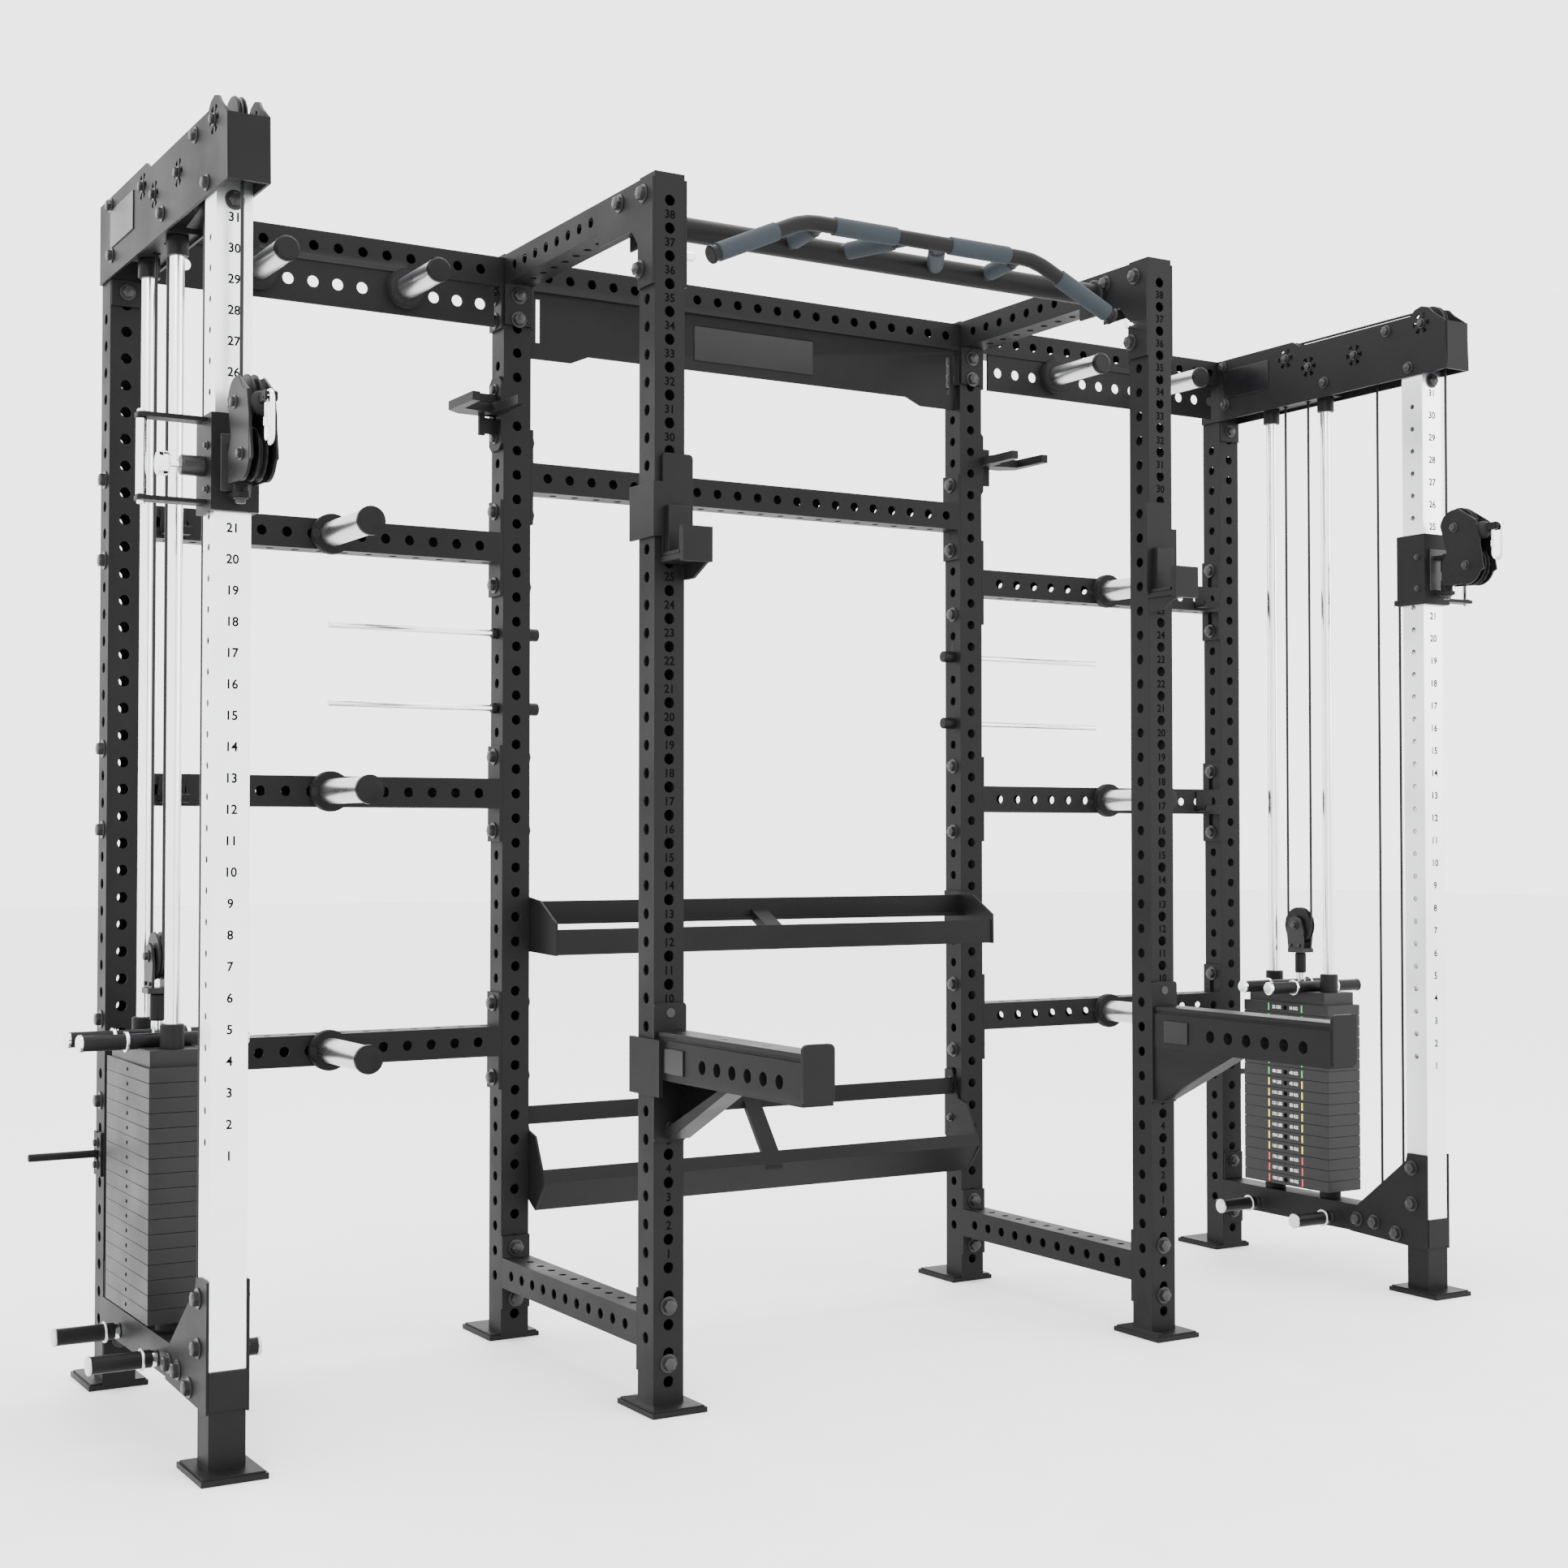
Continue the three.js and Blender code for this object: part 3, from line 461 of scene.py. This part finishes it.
# ------------------------------------------------------------------ caps, numbers and bolts
numbers, column_numbers = [], []
caps, bolts = Solid(), Solid()
for side, s in SIDES.items():
    for y in (FRONT_Y, REAR_Y):
        caps.box(s * RACK_X - 27, s * RACK_X + 27, y - 27, y + 27, RACK_TOP - 8, RACK_TOP + 1)
    caps.box(s * TOWER_X - 26.5, s * TOWER_X + 26.5, REAR_Y - 26.5, REAR_Y + 26.5, 2170, 2190)
    for i in range(38):
        z = 274 + PITCH * i
        numbers.append(label(str(i + 1), (s * RACK_X, FRONT_Y - HALF - INK_PROUD, z), 21))
    for i in range(31):
        z = 504 + PITCH * i
        column_numbers.append(label(str(i + 1), (s * TOWER_X, FRONT_Y - HALF - INK_PROUD, z), 21))

    for x, inner in ((RACK_X, 1), (TOWER_X, -1)):
        for z in CROSSBARS.values():
            for dz in (-75, 75):
                face = s * (x + inner * (HALF + 6.5))
                bolts.bolt((face, REAR_Y, z + dz), (s * inner, 0, 0))
                bolts.bolt((s * (x - inner * HALF), REAR_Y, z + dz), (-s * inner, 0, 0))
    for dz in (-75, 75):
        bolts.bolt((s * (RACK_X - HALF - 6.5), REAR_Y, MID_BAR_Z + dz), (-s, 0, 0))
    for z in (2115, 2067):
        bolts.bolt((s * (RACK_X + HALF + 6.5), REAR_Y, z), (s, 0, 0))
        bolts.bolt((s * (RACK_X - HALF - 6.5), REAR_Y, z), (-s, 0, 0))
        bolts.bolt((s * RACK_X, REAR_Y - HALF - 6.5, z), (0, -1, 0))
    for z in (183, 82):
        bolts.bolt((s * RACK_X, FRONT_Y - HALF, z), (0, -1, 0))
        bolts.bolt((s * RACK_X, REAR_Y - HALF - 6.5, z), (0, -1, 0))
        bolts.bolt((s * RACK_X, REAR_Y + HALF, z), (0, 1, 0))
    for y, z in ((-229, 2171), (-323, 2166), (-310, 2032)):
        for out in (-1, 1):
            bolts.bolt((s * RACK_X + out * 35, y, z), (out, 0, 0))
    for y, z in ((-317, 276), (-317, 197), (-152, 140), (-205, 140), (-270, 125)):
        for out in (-1, 1):
            bolts.bolt((s * TOWER_X + out * 35, y, z), (out, 0, 0))
    for y, z in ((-259, 2159), (-325, 2064), (281, 2176), (-64, 2077), (272, 2081)):
        for out in (-1, 1):
            bolts.bolt((s * TOWER_X + out * 35, y, z), (out, 0, 0), 10)
    for cy, cz in TOP_PULLEYS:
        for out in (-1, 1):
            bolts.bolt((s * TOWER_X + out * 35, cy, cz), (out, 0, 0), 8)
    bolts.bolt((s * TOWER_X, REAR_Y - HALF, 135), (0, -1, 0), 8)
    bolts.bolt((s * TOWER_X, FRONT_Y - HALF, 2032), (0, -1, 0), 12)
    for z in (1826, 1925):
        bolts.bolt((s * (RACK_X + HALF + 6), REAR_Y, z), (s, 0, 0), 9)
    for z in (408, 448):
        bolts.bolt((s * (TOWER_X + HALF + 5), REAR_Y, z), (s, 0, 0), 7)
    for y, z in ((275, 794), (330, 860), (330, 800), (335, 455), (335, 370)):
        bolts.bolt((s * (RACK_X - HALF - 5.5), y, z), (-s, 0, 0), 7)

# Flanges on the outer uprights and hook plates on the crossbars.
plates = Solid()
for s in (-1, 1):
    x, face = s * TOWER_X, REAR_Y - HALF
    for low, high in ((64, 109.5), (170.5, 236), (1996, 2043.5)):
        plates.box(x - 29, x + 29, face - 5.5, face + 0.3, low, high)
    for z in (90, 215, 2022):
        bolts.bolt((x, face - 5.5, z), (0, -1, 0), 11)
    for z in (CROSSBARS["high"], CROSSBARS["middle"]):
        hook_x = s * 1270
        plates.box(hook_x - 25, hook_x + 25, face - 4, face + 0.3, z - 24, z + 24)
        plates.prism("x", [(face - 3, z - 24), (face - 3, z - 19), (face - 30, z - 19), (face - 36, z - 8),
                           (face - 41, z - 10), (face - 34, z - 24)], hook_x - 25, hook_x + 25)
plates.done("frame_plates", COAT, bevel=1)
caps.done("post_caps", PLASTIC, bevel=1.5)
bolts.done("frame_bolts", BOLT)
joined(numbers, "post_numbers", INK_AND_HOLE_SHADE, "frame")
joined(column_numbers, "column_numbers", INK_AND_HOLE_SHADE, "frame")


# ------------------------------------------------------------------ guide rods, band pegs, storage pegs
chrome_rods, sleeves, rubber, steel, grips = Solid(), Solid(), Solid(), Solid(), Solid()
for side, s in SIDES.items():
    x = s * TOWER_X
    for y in GUIDE_ROD_YS:
        chrome_rods.rod((x, y, 190), (x, y, 2017), 12.8, 40)
        rubber.rod((x, y, 171), (x, y, STACK_BOTTOM - 0.4), 24.4, 40, 2)
        sleeves.rod((x, y, 2015.5), (x, y, 2050), 19.4, 40, 1.5)
    for y in (182, -63):
        for out in (-1, 1):
            near, far = x + out * 40, x + out * 141
            z = BAND_PEG_Z
            chrome_rods.rod((x + out * 31, y, z), (near + out * 10, y, z), 14.2, 36)
            sleeves.rod((near, y, z), (far, y, z), 15.0, 36)
            steel.rod((far, y, z), (far + out * 6, y, z), 16.5, 36, 2)
            steel.rod((near + out * 14, y, z), (near + out * 19, y, z), 19, 36, 1.5)
    collar = [(0, 34), (0.25, 39.4), (0.85, 39.4), (1, 37)]
    peg_x = s * CROSSBAR_PEG_X
    for z in CROSSBARS.values():
        rubber.turned((peg_x, 284.5, z), (peg_x, 301, z), collar, 48)
        steel.rod((peg_x, 81, z), (peg_x, 285, z), 24.4, 48)
        sleeves.turned((peg_x, 71, z), (peg_x, 82, z), [(0, 22), (0.3, 27.4), (1, 27.4)], 48)
    for peg_x in [s * distance for distance in TOP_PEG_XS]:
        z = TOP_PEG_Z
        rubber.turned((peg_x, 284.5, z), (peg_x, 303, z), collar, 48)
        steel.rod((peg_x, 128, z), (peg_x, 286, z), 22.4, 48)
        sleeves.turned((peg_x, 119, z), (peg_x, 129, z), [(0, 20), (0.3, 24), (1, 24)], 48)
    for z in (1427, 1274):
        chrome_rods.rod((s * 600, REAR_Y, z), (s * 957, REAR_Y, z), 6.6, 28, 2)
        sleeves.rod((s * 509.5, REAR_Y, z), (s * 538, REAR_Y, z), 13, 32, 2)
        sleeves.rod((s * 599.5, REAR_Y, z), (s * 612, REAR_Y, z), 11, 32, 2)
    sleeves.rod((s * (TOWER_X + 36), REAR_Y, 428), (s * 1517.5, REAR_Y, 428), 7.2, 28, 2)
    chrome_rods.rod((s * 539, FRONT_Y, 2063), (s * 505, FRONT_Y, 2063), 9, 28, 2)

# Pull-up assembly: smooth bars and collars with grip sleeves.
bar_points = [(-465, 2074), (-300, 2149), (-285, 2155), (-262, 2161), (-240, 2163),
              (240, 2163), (262, 2161), (285, 2155), (300, 2149), (465, 2074)]
pull_up = Solid()
pull_up.rod((-533, BAR_Y, BAR_Z), (533, BAR_Y, BAR_Z), 23, 48)
pull_up.sweep([(x, FRONT_Y, z) for x, z in bar_points], 15, 32)
for s in (-1, 1):
    pull_up.rod((s * 232, BAR_Y, BAR_Z), (s * 232, FRONT_Y, BENT_BAR_Z), 14.5, 32)
    pull_up.rod((s * 118, BAR_Y, BAR_Z), (s * 36, FRONT_Y, BENT_BAR_Z), 14.5, 32)
    pull_up.turned((s * 521, BAR_Y, BAR_Z), (s * 533.5, BAR_Y, BAR_Z), [(0, 28), (0.3, 32), (1, 32)], 48)
    grips.rod((s * 330, FRONT_Y, 2135.4), (s * 455, FRONT_Y, 2078.6), 17.5, 36, 2)
    grips.rod((s * 62, FRONT_Y, BENT_BAR_Z), (s * 205, FRONT_Y, BENT_BAR_Z), 17.5, 36, 2)
    grips.rod((s * 232, -232, 2154.7), (s * 232, -305, 2160.9), 17, 36, 2)
    grips.rod((s * 104, -222, 2153.9), (s * 51, -306, 2161), 17, 36, 2)
    sleeves.rod((s * 463, FRONT_Y, 2074.9), (s * 470, FRONT_Y, 2071.7), 17.5, 32, 2)
pull_bar = pull_up.done("pull_up_bars", COAT)
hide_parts("pull_up_bar")
grips.done("bar_grips", GRIP)

# Shelf strips, J-cup and spotter arm liners.
for s in (-1, 1):
    sleeves.box(s * 30, s * 530, 185, 204, 780.3, 783)
sleeves.box(-529, 529, 278, 295.6, 838.3, 841)

for side, s in SIDES.items():
    liner = Solid()
    liner.box(s * 540, s * 583, -384, -367, 1507.5, 1600)
    liner.box(s * 533, s * 588, -436, -370, 1508.3, 1516)
    liner.prism("x", [(-437.6, 1508.3), (-430, 1508.3), (-430, 1550), (-433, 1556.5), (-437.6, 1556.5)],
                s * 533, s * 588)
    liner.done(f"cup_liner_{side}", PLASTIC, f"j_cup_{side}", 1.2)
    strip = Solid()
    strip.box(s * 541.5, s * 596.5, -857.5, -368, 660, 669)
    strip.done(f"arm_strip_{side}", PLASTIC, f"spotter_{side}", 1.2)
    screws = Solid()
    for y in (-420, -560, -700, -840):
        screws.rod((s * RACK_X, y, 668.5), (s * RACK_X, y, 669.6), 7, 24, 0.3)
    for z in (700, 500):
        screws.rod((s * RACK_X, -366, z), (s * RACK_X, -367.6, z), 8.6, 28, 0.5)
    screws.done(f"arm_screws_{side}", BOLT, f"spotter_{side}")
    plate = Solid()
    for face in (-1, 1):
        x = s * RACK_X + face * 29.2
        plate.box(x, x + face * 2.5, -470, -400, 598, 642)
    plate.done(f"arm_badge_{side}", BADGE, f"spotter_{side}", 1)

# Blank badges and the wheels inside the housings.
GROOVE = [(0, 39.5), (0.12, 41.4), (0.2, 41.4), (0.42, 33.4), (0.58, 33.4), (0.8, 41.4), (0.88, 41.4),
          (1, 39.5)]
for side, s in SIDES.items():
    badge = Solid()
    for face in (-1, 1):
        x = s * TOWER_X + face * 35
        badge.box(x, x + face * 2, 121, 280, 2095, 2165)
    badge.done(f"housing_badge_{side}", BADGE, "frame", 1)
    wheels = Solid()
    for cy, cz in TOP_PULLEYS:
        wheels.turned((s * TOWER_X - 7.7, cy, cz), (s * TOWER_X + 7.7, cy, cz), GROOVE, 56)
    wheels.turned((s * TOWER_X - 7.7, *BASE_PULLEY), (s * TOWER_X + 7.7, *BASE_PULLEY),
                  [(share, r * BASE_PITCH_R / TOP_PITCH_R) for share, r in GROOVE], 56)
    wheels.done(f"top_wheels_{side}", PLASTIC)

header_badge = Solid().box(-150, 150, 313.5, 316.2, 2035, 2110)
header_badge.done("header_badge", BADGE, "frame", 1.5)


# ------------------------------------------------------------------ weight stacks
def stack_face_z(i):
    """Mid-height of a plate, counted from the bottom one."""
    return STACK_BOTTOM + PLATE_PITCH * (i + 0.5)


def wheel(x, centre, pitch, name, on):
    """A grooved pulley wheel with a hub; pitch is the radius at which its cable runs."""
    rim, floor = pitch + 4.2, pitch - 3.6
    disc = Solid()
    disc.turned((x - 7.6, *centre), (x + 7.6, *centre),
                [(0, rim - 1.5), (0.1, rim), (0.18, rim), (0.42, floor), (0.58, floor),
                 (0.82, rim), (0.9, rim), (1, rim - 1.5)], 64)
    for out in (-1, 1):
        disc.rod((x + out * 7, *centre), (x + out * 9, *centre), 13, 32, 0.5)
    disc.done(name, PLASTIC, on)


for side, s in SIDES.items():
    for name, body, first, last in (("low", "frame", 0, FIRST_LIFTED),
                                    ("high", f"stack_{side}", FIRST_LIFTED, PLATE_COUNT)):
        plates, words, holes = Solid(), [], Solid()
        bands = {"g": Solid(), "y": Solid(), "r": Solid()}
        for i in range(first, last):
            z = stack_face_z(i)
            kilos = 10 + 5 * (PLATE_COUNT - 1 - i)
            pounds = round(kilos * 2.2046)
            face = s * (TOWER_X - STACK_HALF_X)
            plates.box(s * (TOWER_X - 51.1), s * (TOWER_X + 51.1), STACK_Y - 139.6, STACK_Y + 139.6,
                       z - 12.35, z + 12.35)
            looking = "-x" if s > 0 else "+x"
            flip = -1 if s > 0 else 1
            out = face - s * 0.9
            words.append(label(f"{kilos} KG", (out, STACK_Y + flip * 28, z), 10.5, looking))
            words.append(label(f"{pounds} LBS", (out, STACK_Y - flip * 28, z), 10.5, looking))
            key = "g" if kilos <= 40 else "y" if kilos <= 75 else "r"
            for end in (-1, 1):
                y = STACK_Y + end * 55
                bands[key].box(out, out + s * 0.5, y - 2.2, y + 2.2, z - 8.5, z + 8.5)
            # Dark discs where the pin hole opens on the front and back faces: painted shade standing in
            # for the open holes, which are not cut.
            holes.rod((out - s * 0.4, STACK_Y, z), (out + s * 0.8, STACK_Y, z), 5.5, 24, 0.2)
            back = s * (TOWER_X + STACK_HALF_X + 0.4)
            holes.rod((back, STACK_Y, z), (back + s * 0.8, STACK_Y, z), 3.5, 20, 0.2)
        plates.done(f"stack_faces_{name}_{side}", IRON, body, 0.6)
        joined(words, f"stack_figures_{name}_{side}", WHITE, body)
        for key, mat in (("g", GREEN), ("y", YELLOW), ("r", RED)):
            if len(bands[key].bm.verts):
                bands[key].done(f"stack_band_{key}_{name}_{side}", mat, body)
        holes.done(f"stack_hole_shade_{name}_{side}", INK_AND_HOLE_SHADE, body)

    x = s * TOWER_X
    body = f"stack_{side}"
    shiny, dark = Solid(), Solid()
    z = HEAD_BAR_Z
    for y in HEAD_BAR_YS:
        dark.rod((x - 140, y, z), (x + 140, y, z), 13.6, 36, 1)
        for out in (-1, 1):
            shiny.turned((x + out * 140, y, z), (x + out * 148, y, z), [(0, 15), (0.6, 15), (1, 12)], 36)
            shiny.rod((x + out * 62, y, z), (x + out * 68, y, z), 18, 36, 1)
    shiny.rod((x, STACK_Y, 648), (x, STACK_Y, 692), 10.6, 36, 1)
    dark.rod((x, STACK_Y, 690), (x, STACK_Y, 737), 13, 36, 2)
    for y in GUIDE_ROD_YS:
        dark.rod((x, y, 647), (x, y, 691), 20.6, 40, 2)
    shiny.done(f"head_bright_{side}", CHROME, body)
    dark.done(f"head_dark_{side}", PLASTIC, body)
    screws = Solid()
    for out in (-1, 1):
        screws.bolt((x + out * 16.3, *STACK_PULLEY), (out, 0, 0), 8)
        for y in (48, 76):
            screws.bolt((x + out * 16.3, y, 755), (out, 0, 0), 4, False)
    screws.done(f"head_bolts_{side}", BOLT, body)

    wheel(x, STACK_PULLEY, STACK_PITCH_R, f"stack_wheel_disc_{side}", f"stack_wheel_{side}")
    wheel(x, UPPER_PULLEY, UPPER_PITCH_R, f"swivel_wheel_disc_{side}", f"swivel_wheel_{side}")
    wheel(x, LOWER_PULLEY, LOWER_PITCH_R, f"swivel_low_disc_{side}", f"swivel_{side}")

    pin = Solid()
    z = stack_face_z(FIRST_LIFTED)
    pin.turned((s * (TOWER_X - 90), STACK_Y, z), (s * (TOWER_X - 114), STACK_Y, z),
               [(0, 9), (0.3, 13.4), (0.8, 13.4), (1, 9)], 36)
    pin.done(f"selector_knob_{side}", RED, f"selector_{side}")

    # Carriage: bright grip, dark barrel and front plate, bolts, knob.
    body = f"carriage_{side}"
    grip = Solid()
    grip.rod((s * GRIP_X, FRONT_Y, 1550), (s * GRIP_X, FRONT_Y, 1673), 8.7, 40, 1.5)
    grip.rod((s * GRIP_X, FRONT_Y, 1536), (s * GRIP_X, FRONT_Y, 1687), 7, 32, 1.5)
    grip.done(f"carriage_grip_{side}", CHROME, body)
    trim = Solid()
    trim.rod((s * 1397, FRONT_Y, POP_PIN_Z), (s * 1436, FRONT_Y, POP_PIN_Z), 16.5, 40, 2)
    trim.box(x - 25, x + 25, -372.4, -376, 1560, 1652)
    trim.done(f"carriage_trim_{side}", BOLT, body, 1)
    fixings = Solid()
    fixings.bolt((x, LINE_FRONT, 1547.5), (0, 0, -1), 9)
    fixings.bolt((x, -285, 1600), (0, 1, 0), 8)
    for z in (1565, 1635):
        fixings.bolt((s * 1398, -350, z), (s, 0, 0), 5)
        fixings.bolt((s * 1320, -350, z), (-s, 0, 0), 5)
    fixings.done(f"carriage_bolts_{side}", BOLT, body)
    knob = Solid()
    knob.turned((s * 1453, FRONT_Y, POP_PIN_Z), (s * 1472.5, FRONT_Y, POP_PIN_Z),
                [(0, 10), (0.25, 19.5), (0.6, 19.5), (0.9, 13), (1, 6)], 40)
    knob.done(f"pop_knob_{side}", CHROME, f"pop_pin_{side}")

    # Swivel: rounded cheeks, bolts, ball stop and its short cable; snap hook with its gate.
    body = f"swivel_{side}"
    cheek = arc(LOWER_PULLEY, 42, 200, 340, 12) + [(-405, 1567), (-405, 1616), (-420, 1640)]
    cheek += arc(UPPER_PULLEY, 40, 10, 150, 12) + [(-502, 1700), (-512, 1660)]
    cheeks = Solid()
    for out in (-1, 1):
        cheeks.prism("x", cheek, x + out * 17.5, x + out * 22.6)
    cheeks.done(f"swivel_cheeks_{side}", PLASTIC, body, 1)
    fixings = Solid()
    for out in (-1, 1):
        fixings.bolt((x + out * 22, *UPPER_PULLEY), (out, 0, 0), 8)
        fixings.bolt((x + out * 22, *LOWER_PULLEY), (out, 0, 0), 8)
    fixings.done(f"swivel_bolts_{side}", BOLT, body)
    stop = Solid()
    stop.turned((x, -485, 1681), (x, -521.5, 1681), [(0, 8), (0.15, 14), (0.35, 18.4), (0.5, 19.3),
                (0.65, 18.4), (0.85, 14), (1, 8)], 40)
    stop.done(f"ball_stop_{side}", RUBBER, body)
    run = Solid()
    run.sweep([(x, LINE_FRONT, 1691), (x, -402, 1677), (x, -408, 1667), (x, -418, 1657), (x, -430, 1651.5),
               (x, -445, 1650), (x, -460, 1656), (x, -480, 1670), (x, -495, 1680)], CABLE_R, 16)
    run.done(f"swivel_cable_{side}", CABLE, body)
    hook = Solid()
    points = []
    for k in range(40):
        t = 2 * math.pi * k / 40
        c, d = math.cos(t), math.sin(t)
        half_length = 26.5 if d > 0 else -26.5 if d < 0 else 0
        points.append((x, CARABINER_Y + 13 * c, 1652.5 + 13 * d + half_length))
    hook.sweep(points, 4.4, 20, closed=True)
    hook.rod((x, -530, 1640), (x, -530, 1655), 6, 24, 1)
    hook_obj = hook.done(f"snap_hook_{side}", CHROME, f"carabiner_{side}")
    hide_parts(f"carabiner_{side}")


# ------------------------------------------------------------------ cables
def run_between(side, name, node, points, a=None):
    """One cable run through points (y, z). With a body a it is left unattached, its transform baked in;
    without one it rides the frame.
    """
    x = SIDES[side] * TOWER_X
    cable = Solid().sweep([(x, y, z) for y, z in points], CABLE_R, 16)
    obj = cable.done(f"{name}_{side}", CABLE, "frame" if a is None else None)
    if a is not None:
        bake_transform(obj)
    if node:
        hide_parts(f"{node}_{side}")


for side in SIDES:
    body = f"carriage_{side}"
    run_between(side, "run_front", "cable_front", [(LINE_FRONT, 2156), (LINE_FRONT, 1672)],
                "frame")
    run_between(side, "run_lower", "cable_lower", [(LINE_ANCHOR, 135), (LINE_ANCHOR, 1540)],
                "frame")
    wrap = [(100, 2156)] + arc(STACK_PULLEY, STACK_PITCH_R, 0, -180, 20) + [(24, 2123)]
    run_between(side, "run_stack", "cable_stack", wrap,
                "frame")
    back = arc(TOP_PULLEYS[3], TOP_PITCH_R, 0, 90) + arc(TOP_PULLEYS[1], TOP_PITCH_R, 90, 180)
    back += arc(BASE_PULLEY, BASE_PITCH_R, 0, -180, 20)
    run_between(side, "run_back", "cable_fixed", back)
    over = arc(TOP_PULLEYS[0], TOP_PITCH_R, 180, 90) + arc(TOP_PULLEYS[2], TOP_PITCH_R, 90, 0)
    run_between(side, "run_over", None, over)

chrome_rods.done("bright_rods", CHROME)
sleeves.done("black_sleeves", PLASTIC)
rubber.done("bumpers", RUBBER)
steel.done("steel_sleeves", STEEL)

# ------------------------------------------------------------------ finish of carried-over nodes
special = {"selector_pin": CHROME, "pop_pin": CHROME, "stack_plates": IRON, "stack_head": IRON,
           "stack_pulley": PLASTIC, "swivel": PLASTIC, "cable": CABLE, "carabiner": CHROME}
for name, node in frame["nodes"].items():
    mat = next((m for key, m in special.items() if name.startswith(key)), COAT)
    node.data.materials.clear()
    node.data.materials.append(mat)
    shade(node.data)

# ------------------------------------------------------------------ floor, light and camera
bpy.ops.mesh.primitive_plane_add(size=60, location=(0, 0, -0.0005))
floor = bpy.context.object
floor.name = "floor"
floor_mat = finish_surface("floor", (0.86, 0.86, 0.86), (0.88, 0.88, 0.88), (0.6, 0.7))
floor.data.materials.append(floor_mat)

world = bpy.data.worlds.new("studio")
bpy.context.scene.world = world
world.use_nodes = True
world.node_tree.nodes["Background"].inputs["Color"].default_value = (1, 1, 1, 1)
world.node_tree.nodes["Background"].inputs["Strength"].default_value = 3.5


def area_light(name, place, target, size, power):
    data = bpy.data.lights.new(name, "AREA")
    data.shape = "SQUARE"
    data.size = size
    data.energy = power
    lamp = bpy.data.objects.new(name, data)
    bpy.context.collection.objects.link(lamp)
    lamp.location = place
    lamp.rotation_euler = (Vector(target) - Vector(place)).to_track_quat("-Z", "Y").to_euler()


area_light("key", (-4.5, -4.0, 4.5), (0, 0, 1.0), 3.0, 100)
area_light("fill", (4.5, -4.5, 3.0), (0, 0, 1.0), 3.5, 120)
area_light("top", (0, 0.5, 5.5), (0, 0, 0), 4.0, 200)

camera_data = bpy.data.cameras.new("camera")
camera_data.lens = 50.89
camera_data.sensor_width = 36
camera_data.clip_end = 100
camera = bpy.data.objects.new("camera", camera_data)
bpy.context.collection.objects.link(camera)
camera.location = (-2.425, -3.839 + CENTRE_Y / 1000, 1.007)
camera.rotation_euler = (math.radians(90 + 1.432), 0, math.radians(-31.045))
bpy.context.scene.camera = camera
